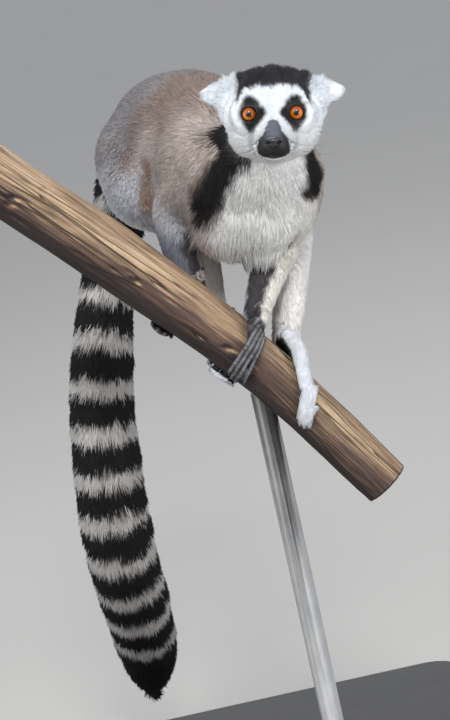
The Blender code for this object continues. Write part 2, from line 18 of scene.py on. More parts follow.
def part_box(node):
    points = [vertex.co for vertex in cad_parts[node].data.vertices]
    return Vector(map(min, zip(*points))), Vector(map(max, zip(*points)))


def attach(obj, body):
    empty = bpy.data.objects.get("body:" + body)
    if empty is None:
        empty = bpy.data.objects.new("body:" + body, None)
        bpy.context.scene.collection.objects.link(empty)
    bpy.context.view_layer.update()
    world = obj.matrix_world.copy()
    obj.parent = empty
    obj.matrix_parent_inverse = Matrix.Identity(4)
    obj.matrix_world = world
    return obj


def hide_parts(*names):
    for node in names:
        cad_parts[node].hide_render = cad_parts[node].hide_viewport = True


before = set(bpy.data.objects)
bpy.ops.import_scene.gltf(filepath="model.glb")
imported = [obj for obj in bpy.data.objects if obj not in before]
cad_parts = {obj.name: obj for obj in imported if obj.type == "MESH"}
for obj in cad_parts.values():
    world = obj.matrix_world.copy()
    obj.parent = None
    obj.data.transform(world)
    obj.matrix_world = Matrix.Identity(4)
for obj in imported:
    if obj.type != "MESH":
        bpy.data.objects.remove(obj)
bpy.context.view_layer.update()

bl_info = {
    "name": "Ring-tailed lemur looks",
    "version": (1, 0, 0),
    "blender": (4, 5, 0),
    "location": "View3D > Sidebar > Lemur",
    "description": "Skin, coat, eyes, nose, nails, perch, stand and stage of a life-size lemur",
    "category": "Object",
}

MM = 0.001
SIDES = {"right": -1, "left": 1}
PAIRS = ("upper_arm", "forearm", "hand", "thigh", "shank", "foot")
FLESH = (
    "head", "ear_left", "ear_right", "neck", "chest", "belly", "rump",
    *(f"tail_{n}" for n in range(1, 6)),
    *(f"{part}_{side}" for part in PAIRS for side in SIDES),
)
ENDS = tuple(f"{part}_{side}" for part in ("hand", "foot") for side in SIDES)
TRUNK_KINDS = ("neck", "chest", "belly", "rump", "upper_arm", "thigh")

# Where the nose's middle lies from the eyeballs' middles, along and across the head's forward line (mm)
NOSE_AHEAD = 36.5
NOSE_BELOW = 18.5
EYE_SET = 3.0  # the eyeballs' middles lie this far behind the eye line (mm)

# The perch's centre line and radii, from its thick upper end to the thin one (mm)
PERCH_LINE = ((-130, -98, 653), (-49, -103, 568), (50, -110, 455), (136, -120, 331))
PERCH_RADII = (26, 25, 22.5, 20)
PERCH_GRIP = (50, -110, 455)  # distances along the perch count from here

# The tail's centre line, from the root to the tip (mm)
TAIL_LINE = (
    (-12, 88, 612), (-24, 108, 592), (-34, 114, 560), (-50, 112, 522), (-77, 94, 441), (-95, 86, 351),
    (-104, 99, 257), (-105, 143, 169), (-110, 197, 92), (-114, 221, 54),
)
RING_PITCH = 40.9  # from one black ring of the tail to the next (mm)
FIRST_RING = 33.0
RING_WIDTH = 27.0
TIP_BLACK = 516.0  # the tail is black from here on

# For each part: depth of the coat over the skin (mm), length of its hair (mm), tufts per square millimetre
# of skin, half the width of a tuft (mm), and how much further its ends may stand out (mm)
DEPTH, LENGTH, DENSITY, HALF_WIDTH, STRAY = range(5)
COATS = {
    "head": (2.6, 6.5, 2.6, 0.18, 0.4),
    "ear": (1.4, 6.6, 3.8, 0.14, 0.6),
    "neck": (8.0, 18.0, 2.0, 0.24, 0.6),
    "chest": (10.0, 23.0, 1.8, 0.26, 0.6),
    "belly": (10.0, 13.0, 1.9, 0.21, 0.2),
    "rump": (10.0, 13.0, 1.9, 0.21, 0.2),
    "upper_arm": (7.0, 11.0, 1.8, 0.22, 0.4),
    "forearm": (3.6, 9.0, 2.1, 0.21, 0.9),
    "hand": (0.6, 2.2, 0.7, 0.10, 0.0),
    "thigh": (9.0, 12.0, 1.8, 0.21, 0.2),
    "shank": (4.6, 10.0, 1.8, 0.22, 1.4),
    "foot": (0.9, 3.4, 2.4, 0.14, 0.2),
    "tail": (13.5, 27.0, 1.65, 0.30, 1.6),
}


# --- arrays ------------------------------------------------------------------------------------------


def unit(vectors):
    return vectors / np.maximum(np.linalg.norm(vectors, axis=-1, keepdims=True), 1e-12)


def dot(first, second):
    return (first * second).sum(-1)


def ramp(values, low, high):
    """0 below low, 1 above high and a smooth step between."""
    t = np.clip((np.asarray(values, float) - low) / (high - low), 0, 1)
    return t * t * (3 - 2 * t)


def mixed(first, second, share):
    share = np.asarray(share, float)[..., None]
    return np.asarray(first, float) * (1 - share) + np.asarray(second, float) * share


def through(rows, steps):
    """Catmull-Rom samples through rows of numbers, with that many steps between two rows."""
    rows = np.asarray(rows, float)
    ends = np.vstack([2 * rows[0] - rows[1], rows, 2 * rows[-1] - rows[-2]])
    samples = []
    for i in range(1, len(ends) - 2):
        a, b, c, d = ends[i - 1 : i + 3]
        for t in np.arange(steps) / steps:
            square = (2 * a - 5 * b + 4 * c - d) * t**2
            cube = (3 * b - a - 3 * c + d) * t**3
            samples.append(0.5 * (2 * b + (c - a) * t + square + cube))
    samples.append(rows[-1])
    return np.array(samples)


# Large odd numbers that scatter a cell's three whole coordinates and the noise's seed
HASH_AXES = (73856093, 19349663, 83492791)
HASH_SEED = 2654435761
HASH_MIXES = ((13, 1274126177), (16, 2246822519))


def noise(points, size, seed=0):
    """Smooth noise from -1 to 1 with lumps of about that size."""
    cells = np.asarray(points, float) / size
    corner = np.floor(cells).astype(np.int64)
    part = cells - corner
    part = part * part * (3 - 2 * part)
    total = np.zeros(len(cells))
    for k in range(8):
        step = np.array([k & 1, k >> 1 & 1, k >> 2 & 1])
        at = corner + step
        mix = (seed + 1) * HASH_SEED
        for axis, prime in enumerate(HASH_AXES):
            mix = mix ^ at[:, axis] * prime
        for shift, prime in HASH_MIXES:
            mix = (mix ^ mix >> shift) * prime & 0xFFFFFFFF
        total += np.prod(np.where(step, part, 1 - part), axis=1) * ((mix ^ mix >> 15) / 2**31 - 1)
    return total


def nearest_row(points, rows):
    """Index of the nearest of the rows to each point, worked out for a few thousand points at a time."""
    found = np.empty(len(points), int)
    for start in range(0, len(points), 4000):
        part = points[start : start + 4000]
        found[start : start + 4000] = ((part[:, None] - rows[None]) ** 2).sum(-1).argmin(1)
    return found


class Line:
    """A smooth line with its distances, to find where a point lies along it."""

    def __init__(self, rows, steps=24):
        self.points = through(rows, steps)
        hops = np.linalg.norm(np.diff(self.points[:, :3], axis=0), axis=1)
        self.along = np.concatenate([[0], np.cumsum(hops)])
        self.tangents = unit(np.gradient(self.points[:, :3], axis=0))

    def nearest(self, points):
        """Index of the nearest sample to each point."""
        return nearest_row(points, self.points[:, :3])

    def at(self, distance):
        return np.array([np.interp(distance, self.along, column) for column in self.points.T])


# --- objects -----------------------------------------------------------------------------------------


def activate(*objects):
    bpy.ops.object.select_all(action="DESELECT")
    for obj in objects:
        obj.select_set(True)
    bpy.context.view_layer.objects.active = objects[0]


def in_edit_mode(obj, operator, **settings):
    """Runs an operator on the whole of an object's mesh."""
    activate(obj)
    bpy.ops.object.mode_set(mode="EDIT")
    bpy.ops.mesh.select_all(action="SELECT")
    operator(**settings)
    bpy.ops.object.mode_set(mode="OBJECT")


def faced_out(obj):
    in_edit_mode(obj, bpy.ops.mesh.normals_make_consistent, inside=False)
    return obj


def mesh_object(name, points, faces):
    """A new object from points in metres and faces."""
    mesh = bpy.data.meshes.new(name)
    mesh.from_pydata(points, [], faces)
    mesh.update()
    obj = bpy.data.objects.new(name, mesh)
    bpy.context.scene.collection.objects.link(obj)
    return obj


def applied(obj, kind, **settings):
    """Adds a modifier with these settings and applies it."""
    activate(obj)
    modifier = obj.modifiers.new(kind.title(), kind)
    for name, value in settings.items():
        setattr(modifier, name, value)
    bpy.ops.object.modifier_apply(modifier=modifier.name)
    return obj


def joined(objects):
    activate(*objects)
    if len(objects) > 1:
        bpy.ops.object.join()
    return objects[0]


def melted(objects, voxel, rounds):
    """Overlapping closed shapes melted into one skin of cells that size (mm), then smoothed."""
    obj = applied(joined(objects), "REMESH", mode="VOXEL", voxel_size=voxel * MM)
    return applied(obj, "SMOOTH", factor=0.5, iterations=rounds)


def combined(obj, operation, other):
    """A closed object with another one added to it or cut out of it."""
    applied(obj, "BOOLEAN", operation=operation, solver="MANIFOLD", object=other)
    bpy.data.objects.remove(other, do_unlink=True)


def merged_copy(node):
    """A copy of a CAD node with its loose triangles joined up."""
    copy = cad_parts[node].copy()
    copy.data = copy.data.copy()
    copy.parent = None
    copy.hide_viewport = copy.hide_render = False
    bpy.context.scene.collection.objects.link(copy)
    copy.data.materials.clear()
    in_edit_mode(copy, bpy.ops.mesh.remove_doubles, threshold=0.00001)
    return copy


def flesh_copy(node, swell=0.4):
    """A merged copy of a CAD node, swollen so that it overlaps its neighbours."""
    return applied(merged_copy(node), "DISPLACE", mid_level=0.0, strength=swell * MM)


def ball(centre, radii, axes=None, segments=32):
    """An ellipsoid: centre in metres, radii in mm along the axes."""
    bpy.ops.object.select_all(action="DESELECT")
    bpy.ops.mesh.primitive_uv_sphere_add(segments=segments, ring_count=segments // 2, radius=1.0)
    obj = bpy.context.object
    turn = np.eye(3) if axes is None else np.array(axes).T
    flip = 1 if np.linalg.det(turn) > 0 else -1
    place = Matrix.Translation(centre) @ Matrix((turn * flip).tolist()).to_4x4()
    obj.data.transform(place @ Matrix.Diagonal((*(r * MM for r in radii), 1)))
    return obj


def ring_faces(first, second):
    """The faces between two rings, each given by its points' numbers."""
    after = [*range(1, len(first)), 0]
    return [(first[k], first[n], second[n], second[k]) for k, n in enumerate(after)]


def tube_faces(rings, sides):
    """The faces of a tube of rings whose points follow on each other."""
    numbers = [range(ring * sides, (ring + 1) * sides) for ring in range(rings)]
    return [face for pair in zip(numbers, numbers[1:]) for face in ring_faces(*pair)]


def loft(rows, sides, side_axis):
    """A closed tube through rows of x, y, z, half width (along side_axis) and half height in mm."""
    rows, side_axis = np.asarray(rows, float), np.asarray(side_axis, float)
    along = unit(np.gradient(rows[:, :3], axis=0))
    across = unit(side_axis - along * (along @ side_axis)[:, None])
    up = np.cross(across, along)
    turns = np.arange(sides) * 2 * math.pi / sides
    rings = (
        rows[:, None, :3]
        + across[:, None] * (rows[:, 3, None] * np.cos(turns))[..., None]
        + up[:, None] * (rows[:, 4, None] * np.sin(turns))[..., None]
    )
    faces = tube_faces(len(rows), sides)
    faces.append(tuple(reversed(range(sides))))
    faces.append(tuple(range((len(rows) - 1) * sides, len(rows) * sides)))
    return faced_out(mesh_object("tube", rings.reshape(-1, 3) * MM, faces))


def read(items, name, width, kind=np.float32):
    """One property of all the items of a Blender collection, as an array."""
    values = np.empty(len(items) * width, kind)
    items.foreach_get(name, values)
    values = values.astype(float) if kind is np.float32 else values
    return values.reshape(-1, width) if width > 1 else values


def points_of(mesh):
    return read(mesh.vertices, "co", 3)


def normals_of(mesh):
    return read(mesh.vertices, "normal", 3)


def edges_of(mesh):
    return read(mesh.edges, "vertices", 2, np.int32)


def put_points(mesh, points):
    mesh.vertices.foreach_set("co", np.asarray(points, np.float32).ravel())
    mesh.update()


def spread(values, edges, rounds):
    """Averages values on a mesh's points with those of their neighbours."""
    values = np.asarray(values, float)
    shape = values.shape
    values = values.reshape(len(values), -1)
    size = len(values)
    count = np.maximum(np.bincount(edges.ravel(), minlength=size), 1)[:, None]
    first, second = edges.T
    for _ in range(rounds):
        total = [
            np.bincount(first, column[second], size) + np.bincount(second, column[first], size)
            for column in values.T
        ]
        values = 0.5 * values + 0.5 * np.stack(total, axis=1) / count
    return values.reshape(shape)


def tree_of(obj):
    """Finds the nearest place on an object's surface."""
    mesh = obj.data
    return BVHTree.FromPolygons([v.co for v in mesh.vertices], [p.vertices for p in mesh.polygons])


def put_attribute(mesh, name, kind, field, values):
    """Keeps a value for each of a mesh's points."""
    attribute = mesh.attributes.new(name, kind, "POINT")
    attribute.data.foreach_set(field, np.asarray(values, np.float32).ravel())


def middle(node):
    """The middle of a node's box, in metres."""
    low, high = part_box(node)
    return np.array((low + high) / 2)


def centroid(node):
    """The mean of a node's points, in metres."""
    return points_of(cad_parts[node].data).mean(0)


# --- the animal's own directions ---------------------------------------------------------------------


class Head:
    """The head's own axes: across to the animal's left, forward and up, from the middle of the eye line."""

    def __init__(self):
        right_eye, left_eye, nose = (middle(n) for n in ("eye_right", "eye_left", "nose"))
        self.across = unit(left_eye - right_eye)
        to_nose = unit(nose - (left_eye + right_eye) / 2)
        to_nose = unit(to_nose - self.across * (to_nose @ self.across))
        over = np.cross(to_nose, self.across)
        drop = math.atan2(NOSE_BELOW, NOSE_AHEAD)
        self.forward = math.cos(drop) * to_nose + math.sin(drop) * over
        self.up = math.cos(drop) * over - math.sin(drop) * to_nose
        self.axes = np.array([self.across, self.forward, self.up])
        self.origin = (left_eye + right_eye) / 2 + self.forward * EYE_SET * MM
        self.eye_spread = np.linalg.norm(left_eye - right_eye) / 2 / MM

    def sizes(self, points):
        """Points in the head's own millimetres."""
        return (np.asarray(points) - self.origin) @ self.axes.T / MM

    def place(self, *sizes):
        return self.origin + np.array(sizes, float) @ self.axes * MM


HEAD = Head()
EYE_PLACES = [(side * HEAD.eye_spread, -EYE_SET, 0) for side in (1, -1)]
PERCH = Line([(*p, r) for p, r in zip(PERCH_LINE, PERCH_RADII)], 40)
PERCH_START = PERCH.along[np.linalg.norm(PERCH.points[:, :3] - np.array(PERCH_GRIP), axis=1).argmin()]
TAIL = Line(TAIL_LINE)


def on_perch(along, turn, lift):
    """A point in mm beside the perch: distance along it, turn in degrees (0 top, 90 front, 180 under)
    and height over its surface."""
    x, y, z, radius = PERCH.at(PERCH_START + along)
    ahead = PERCH.at(PERCH_START + along + 1)[:3]
    axis = unit(ahead - np.array([x, y, z]))
    top = unit(np.array([0, 0, 1]) - axis * axis[2])
    front = np.cross(axis, top)
    out = top * math.cos(math.radians(turn)) + front * math.sin(math.radians(turn))
    return np.array([x, y, z]) + out * (radius + lift)


class Nodes:
    """Tells which of the named flesh nodes a point belongs to."""

    def __init__(self, names=FLESH):
        points, faces, self.of_face = [], [], []
        for index, name in enumerate(FLESH):
            if name not in names:
                continue
            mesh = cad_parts[name].data
            start = len(points)
            points.extend(v.co.copy() for v in mesh.vertices)
            faces.extend(tuple(start + i for i in p.vertices) for p in mesh.polygons)
            self.of_face.extend([index] * len(mesh.polygons))
        self.tree = BVHTree.FromPolygons(points, faces)

    def at(self, points):
        return np.array([self.of_face[self.tree.find_nearest(Vector(p))[2]] for p in points])

    def gap(self, points):
        return gaps(self.tree, points)


def gaps(tree, points):
    """Distance in mm from each point to a tree's surface."""
    return np.array([tree.find_nearest(Vector(p))[3] for p in points]) / MM


def kind_of(name):
    """The row of COATS that a flesh node belongs to."""
    return next(kind for kind in COATS if name.startswith(kind))


def is_kind(nodes, *kinds):
    """Where points' nodes are of these kinds."""
    return np.isin(nodes, [index for index, name in enumerate(FLESH) if kind_of(name) in kinds])


def coat_value(nodes, column):
    """One column of COATS for each point's node."""
    return np.array([COATS[kind_of(name)][column] for name in FLESH])[nodes]


# --- skin --------------------------------------------------------------------------------------------

# Shapes added to the head under the thin coat of the face, in the head's own millimetres: whisker pad,
# lower lip, chin, cheek, brow, ruff and side of the skull. Each is a centre (across, ahead, up) and its
# radii, and one whose centre is off the middle stands on both sides.
FACE_BALLS = (
    ((5.2, 26.5, -24.3), (7.6, 10.0, 8.4)),
    ((0, 17.5, -30.3), (9.0, 13.0, 3.0)),
    ((0, 9.0, -31.0), (8.5, 14.0, 4.2)),
    ((9.5, 5.0, -23.0), (6.5, 16.0, 9.5)),
    ((12.5, -6.0, 10.0), (10.5, 6.5, 4.6)),
    ((24.0, -16.0, -1.5), (15.3, 13.0, 17.6)),
    ((16.0, -20.0, 18.5), (13.5, 13.5, 14.0)),
)
# The bridge of the nose: centres, half widths and half heights
BRIDGE = (
    ((0, -4, 4), 9.5, 9),
    ((0, 6, -3), 7.6, 7.5),
    ((0, 15, -9.5), 6.2, 6.5),
    ((0, 25, -14.8), 5.6, 5.6),
    ((0, 33, -18.2), 5.2, 4.4),
)
# One half of the line between the lips, from its corner to the middle
MOUTH = ((15, 6, -26.0), (13, 15, -27.8), (10.0, 24, -28.8), (5.2, 31, -29.6), (0, 33.5, -29.2))
PHILTRUM = ((0, 38, -24), (0, 36.5, -27), (0, 35, -29.5))  # the furrow from the nose down to the lip
LID_RADIUS = 8.75
EYE_RADIUS = 7.5
EYE_OPENING = (5.75, 5.45)  # half width and half height between the lids
EAR_ROOT = (25, -28, 12.5)
EAR_TIP = (47, -33, 17.5)
EAR_RADII = (13.0, 9.8, 2.4)  # along, across and through the ear
EAR_TAPER = 0.22  # how much narrower its tip is than its root
EAR_STUB = (9.0, 10.5, 5.5)  # radii of the ball that joins it to the skull
EAR_HOLLOW = (8.0, 5.4, 3.0)
EAR_FACES = (0.28, 0.96)  # the way its cup faces: out to the side and forward
EAR_POINT = (74, -37, 13)  # where the ears' hair points

# Hands and feet grip the perch. Rows are (along, turn, lift, half width, half thickness) and digits run
# from (along, turn) to (along, turn), with the lift at their root and their radius
GRIPS = {
    "hand_left": (
        (
            (-17, 34, 9.5, 6.2, 6.6), (-12, 44, 6.6, 6.4, 4.8),
            (-9, 51, 4.8, 6.2, 3.2), (-7, 56, 3.6, 5.6, 2.2),
        ),
        (
            ((-15.5, 40), (-9.5, 131), 6.6, 1.85),
            ((-12, 41), (-4.5, 141), 7.2, 1.95),
            ((-8.5, 41), (0.5, 141), 7.2, 1.95),
            ((-6, 39), (6, 129), 6.6, 1.85),
            ((-18, 33), (-21, -40), 5.4, 2.2),
        ),
    ),
    "hand_right": (
        (
            (-72, -62, 10, 6.8, 6.8), (-72, -80, 6.8, 7.4, 4.8),
            (-71, -90, 4.8, 7.4, 3.2), (-71, -96, 3.6, 6.8, 2.2),
        ),
        (
            ((-77, -78), (-80.5, -187), 6.6, 1.9),
            ((-73.8, -80), (-74.5, -197), 7.2, 2.0),
            ((-69.8, -80), (-68, -195), 7.2, 2.0),
            ((-66, -78), (-61.5, -182), 6.6, 1.9),
            ((-70, -64), (-72, -8), 5.6, 2.0),
        ),
    ),
    "foot_left": (
        (
            (9, -16, 10, 6.0, 6.2), (20, 6, 10, 5.8, 6.6), (31, 30, 8, 5.6, 5.4),
            (42, 47, 5.6, 5.6, 3.8), (46, 53, 4.2, 5.4, 2.6),
        ),
        (
            ((40, 44), (58.5, 107), 6.4, 1.75),
            ((43, 44), (62.3, 113), 6.8, 1.85),
            ((46, 43), (66.1, 113), 6.8, 1.85),
            ((49, 41), (69.5, 105), 6.4, 1.75),
            ((26, 2), (34, -88), 7.0, 3.2),
        ),
    ),
    "foot_right": (
        (
            (-40, -88, 13, 6.6, 7.2), (-33, -102, 12, 8.0, 7.4), (-24, -122, 8.5, 8.6, 6.0),
            (-16, -134, 6.0, 9.0, 4.4), (-13, -140, 4.6, 9.0, 3.0),
        ),
        (
            ((-23, -128), (-23.5, -172), 6.4, 2.1),
            ((-18, -131), (-15, -179), 6.6, 2.2),
            ((-12, -131), (-6, -179), 6.6, 2.2),
            ((-7, -128), (2, -170), 6.4, 2.1),
            ((-33, -84), (-34, -48), 6.6, 2.9),
        ),
    ),
}


def sunk(obj, depth, steps=8):
    """Moves a closed mesh's points inwards by a depth in mm for each, smoothing as it goes."""
    mesh = obj.data
    edges = edges_of(mesh)
    for _ in range(steps):
        points = points_of(mesh) - normals_of(mesh) * depth[:, None] * MM / steps
        put_points(mesh, spread(points, edges, 1))


def envelope(ears=True):
    """The outside of the coat, melted from the flesh solids, with the trunk's folds smoothed away."""
    solids = [flesh_copy(name) for name in FLESH if ears or kind_of(name) != "ear"]
    obj = melted(solids, voxel=2.2, rounds=3)
    points, edges = points_of(obj.data), edges_of(obj.data)
    trunk = is_kind(Nodes().at(points), *TRUNK_KINDS)
    share = ramp(spread(trunk, edges, 8), 0.5, 1.0)[:, None]
    put_points(obj.data, points * (1 - share) + spread(points, edges, 55) * share)
    return obj


# How deep (mm) the body's core lies where a finer head, hands and feet are added over it
INNER_HEAD = 11.0
INNER_ENDS = 4.5


def core(nodes):
    """Trunk, limbs and tail under their coat, with the head, hands and feet sunk inside the real ones."""
    obj = envelope(ears=False)
    where = nodes.at(points_of(obj.data))
    depth = coat_value(where, DEPTH)
    depth[is_kind(where, "head", "ear")] = INNER_HEAD
    depth[is_kind(where, "hand", "foot")] = INNER_ENDS
    sunk(obj, spread(depth, edges_of(obj.data), 12))
    return melted([obj], voxel=3.1, rounds=2)


def mirrored(entry):
    """A centre and its radii, on both sides where the centre is off the middle."""
    (across, ahead, up), radii = entry
    sides = (1, -1) if across > 0 else (1,)
    return [((side * across, ahead, up), radii) for side in sides]


def head_ball(centre, radii, segments=32):
    return ball(HEAD.place(*centre), radii, HEAD.axes, segments)


def head_tube(stations, sides):
    rows = [(*(HEAD.place(*centre) / MM), wide, high) for centre, wide, high in stations]
    return loft(through(rows, 5), sides, HEAD.across)


def ear_shapes(side):
    """A thin cupped ear with its root, and the scoop that hollows it."""
    root, tip = (HEAD.place(side * x, ahead, z) for x, ahead, z in (EAR_ROOT, EAR_TIP))
    along = unit(tip - root)
    outward, forward = EAR_FACES
    facing = unit(HEAD.forward * forward + HEAD.across * side * outward)
    facing = unit(facing - along * (facing @ along))
    axes = np.array([along, np.cross(facing, along), facing])
    centre = (root + tip) / 2 + along * 1.2 * MM
    ear = ball(centre, EAR_RADII, axes)
    sizes = (points_of(ear.data) - centre) @ axes.T
    sizes[:, 1] *= 1.08 - EAR_TAPER * ramp(sizes[:, 0] / MM, -8, 14)
    put_points(ear.data, centre + sizes @ axes)
    stub = ball(root + along * 2 * MM, EAR_STUB, axes)
    hollow = ball(centre + along * 0.8 * MM + facing * 3.6 * MM, EAR_HOLLOW, axes)
    return [ear, stub], hollow


def groove(head, path, radius):
    """Carves a thin furrow that follows the head's surface under a path of head sizes."""
    tree = tree_of(head)
    spots = np.array([tree.find_nearest(Vector(HEAD.place(*sizes)))[0] for sizes in through(path, 6)]) / MM
    links = np.array([(k, k + 1) for k in range(len(spots) - 1)])
    rows = np.column_stack([spread(spots, links, 2), np.full((len(spots), 2), radius)])
    combined(head, "DIFFERENCE", loft(rows, 8, HEAD.up))


def soften_head(obj):
    """Smooths the cheeks, skull and bridge of the nose, but not the lids, lips and ears."""
    points = points_of(obj.data)
    x, ahead, z = HEAD.sizes(points).T
    x = np.abs(x)
    sides = ramp(x, 13, 19) * ramp(np.hypot(x - HEAD.eye_spread, z), 8.6, 15) * ramp(5 - ahead, 0, 8)
    sides *= 1 - ramp(x, 29, 33) * ramp(z, 1, 7)
    bridge = ramp(ahead, 3, 10) * ramp(z, -21, -17)
    smooth = spread(points, edges_of(obj.data), 95)
    share = np.maximum(sides, bridge * 0.9)[:, None]
    put_points(obj.data, points * (1 - share) + smooth * share)


def head_skin():
    """The head under its short coat, with snout, lips, lids and hollow ears."""
    parts = ("head", "eye_left", "eye_right", "nose")
    obj = melted([flesh_copy(name) for name in parts], voxel=1.15, rounds=4)
    x, ahead, z = HEAD.sizes(points_of(obj.data)).T
    muzzle = ramp(ahead - np.abs(x) * 0.3, 4, 16) * ramp(-z, -4, 4)
    # The coat is thinnest on the muzzle, and thicker at the nape and on the crown
    depth = 2.5 - 1.9 * muzzle + 4.0 * ramp(-ahead, 34, 58) + 1.6 * ramp(z, 12, 26)
    sunk(obj, spread(depth, edges_of(obj.data), 4), 4)
    shapes = [obj]
    for entry in FACE_BALLS:
        shapes += [head_ball(centre, radii) for centre, radii in mirrored(entry)]
    shapes += [head_ball(place, (LID_RADIUS,) * 3) for place in EYE_PLACES]
    shapes.append(head_tube(BRIDGE, 20))
    ears = [ear_shapes(side) for side in (-1, 1)]
    for solid, _ in ears:
        shapes += solid
    obj = melted(shapes, voxel=0.95, rounds=5)
    soften_head(obj)
    for _, hollow in ears:
        combined(obj, "DIFFERENCE", hollow)
    groove(obj, [*MOUTH, *((-across, *rest) for across, *rest in reversed(MOUTH[:-1]))], 0.75)
    groove(obj, PHILTRUM, 0.5)
    return obj


def open_eyes(skin):
    """Hollows out the eyeballs' places and opens the lids over them."""
    for x, ahead, z in EYE_PLACES:
        combined(skin, "DIFFERENCE", head_ball((x, ahead, z), (EYE_RADIUS + 0.08,) * 3, 48))
        opening = [((x, ahead + reach, z), *EYE_OPENING) for reach in (2, 8, 14, 20)]
        combined(skin, "DIFFERENCE", head_tube(opening, 36))


def digit_rows(start, end, lift, radius, steps=14):
    """A finger or toe bent round the perch: arched at its first knuckle, swollen at its joints."""
    rows = []
    for t in np.linspace(0, 1, steps):
        along = start[0] + (end[0] - start[0]) * t
        turn = start[1] + (end[1] - start[1]) * t
        joints = math.exp(-(((t - 0.34) / 0.07) ** 2)) + math.exp(-(((t - 0.68) / 0.07) ** 2))
        pad = math.exp(-(((t - 0.93) / 0.08) ** 2))
        bulge = radius * (1.0 - 0.22 * t + 0.13 * joints + 0.10 * pad) * (0.55 if t == 1 else 1)
        arch = 1.9 * math.sin(math.pi * min(1.0, 2.2 * t)) + 0.8 * math.exp(-(((t - 0.66) / 0.14) ** 2))
        height = lift * (1 - t) + (radius * 0.85 + 0.3) * t + arch
        rows.append((*on_perch(along, turn, height), bulge, bulge))
    return rows


def wrist_of(end):
    """The middle of the cut between a hand or foot and its limb, and the way the limb runs there."""
    limb = end.replace("hand", "forearm").replace("foot", "shank")
    tree = tree_of(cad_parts[limb])
    rim = [p for p in points_of(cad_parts[end].data) if tree.find_nearest(Vector(p))[3] < 0.8 * MM]
    centre = np.mean(rim, axis=0)
    return centre, unit(centre - centroid(limb))


def end_skin(name):
    """A hand or foot melted from its palm or sole, wrist and digits."""
    palm, digits = GRIPS[name]
    side_axis = np.subtract(PERCH_LINE[2], PERCH_LINE[1])
    rows = [(*on_perch(*row[:3]), *row[3:]) for row in palm]
    centre, along = wrist_of(name)
    wide = palm[0][3]
    stub = [(*((centre + along * reach * MM) / MM), wide, wide) for reach in (-14, -5, 2)]
    shapes = [loft(through(rows, 5), 16, side_axis), loft(through([*stub, rows[0]], 5), 16, (1, 0, 0))]
    for row in digits:
        shapes.append(loft(digit_rows(*row), 14, side_axis))
    return melted(shapes, voxel=0.85, rounds=1)


def build_skin(nodes):
    """The one skin: body core, head, hands and feet."""
    skin = core(nodes)
    combined(skin, "UNION", head_skin())
    open_eyes(skin)
    for name in ENDS:
        combined(skin, "UNION", end_skin(name))
    applied(skin, "TRIANGULATE")
    skin.name = skin.data.name = "skin"
    skin.data.shade_smooth()
    return skin


# --- markings ----------------------------------------------------------------------------------------

CREAM = (0.80, 0.77, 0.71)
BLACK = (0.012, 0.011, 0.012)
SLATE = (0.085, 0.095, 0.115)
CAP_GREY = (0.024, 0.022, 0.026)
FACE_WHITE = (0.72, 0.765, 0.82)
FACE_SHADED_GREY = (0.71, 0.72, 0.74)
BACK_BROWN = (0.275, 0.218, 0.188)
SHOULDER_GREY = (0.47, 0.405, 0.375)
RUMP_GREY = (0.52, 0.53, 0.58)
# painted shade: brown for the fold before the right thigh and for the underside of the right thigh
SHADE_BROWN = (0.26, 0.165, 0.115)
ARM_DARK = (0.062, 0.056, 0.064)
SKIN_DARK = (0.030, 0.029, 0.033)
HAND_HIGHLIGHT_GREY = (0.25, 0.25, 0.265)

# Half the width of the dark muzzle at heights in the head's millimetres
MUZZLE_WIDTHS = (
    (-34.5, -6), (-33, 3), (-31.5, 8.5), (-29.5, 11.8), (-24, 12.8), (-19, 11.2),
    (-15, 8.2), (-12, 6.4), (-8, 4.7), (-5.4, 3.5), (-4.2, 0), (-2, -8),
)
# Reach of the black round each eye (mm), by the angle from up towards the nose (degrees)
PATCH_REACH = (
    (0, 13.2), (30, 12), (60, 10), (90, 12.6), (120, 10), (150, 10.4), (168, 13.8),
    (190, 11.2), (215, 8.6), (240, 7.6), (270, 7.2), (300, 8.2), (330, 10.2), (360, 13.2),
)
# Black patches at the sides of the neck: points (mm) and reach (mm)
NECK_PATCHES = (
    (((66, -104, 638), (69, -125, 626), (59, -121, 611), (46, -115, 597), (39, -108, 584)), 11),
    (((67, -124, 624), (76, -135, 617)), 6.5),
    (((126, -118, 618), (131, -112, 600), (126, -113, 582)), 10),
)
BIB = ((84, -120, 578), (44, 48, 62))  # its middle and half sizes (mm)
FOLD_SHADOW_LINE = ((0, -27, 612), (-3, -20, 596), (-6, -22, 580))  # painted shadow: a brown streak along the fold before the right thigh (mm)


def by_table(rows, values):
    low, high = zip(*rows)
    return np.interp(values, low, high)


def line_gap(points, rows):
    """Distance in mm from each point in metres to a line through rows in mm."""
    return np.min([np.linalg.norm(points - spot, axis=1) for spot in through(rows, 8) * MM], axis=0) / MM


def eye_patches(sizes, ragged):
    """How far each point is inside the black round the nearer eye, and how far from that eye's middle."""
    across = np.abs(sizes[:, 0]) - HEAD.eye_spread
    gap = np.hypot(across, sizes[:, 2])
    turn = np.degrees(np.arctan2(-across, sizes[:, 2])) % 360
    return by_table(PATCH_REACH, turn) + ragged - gap, gap


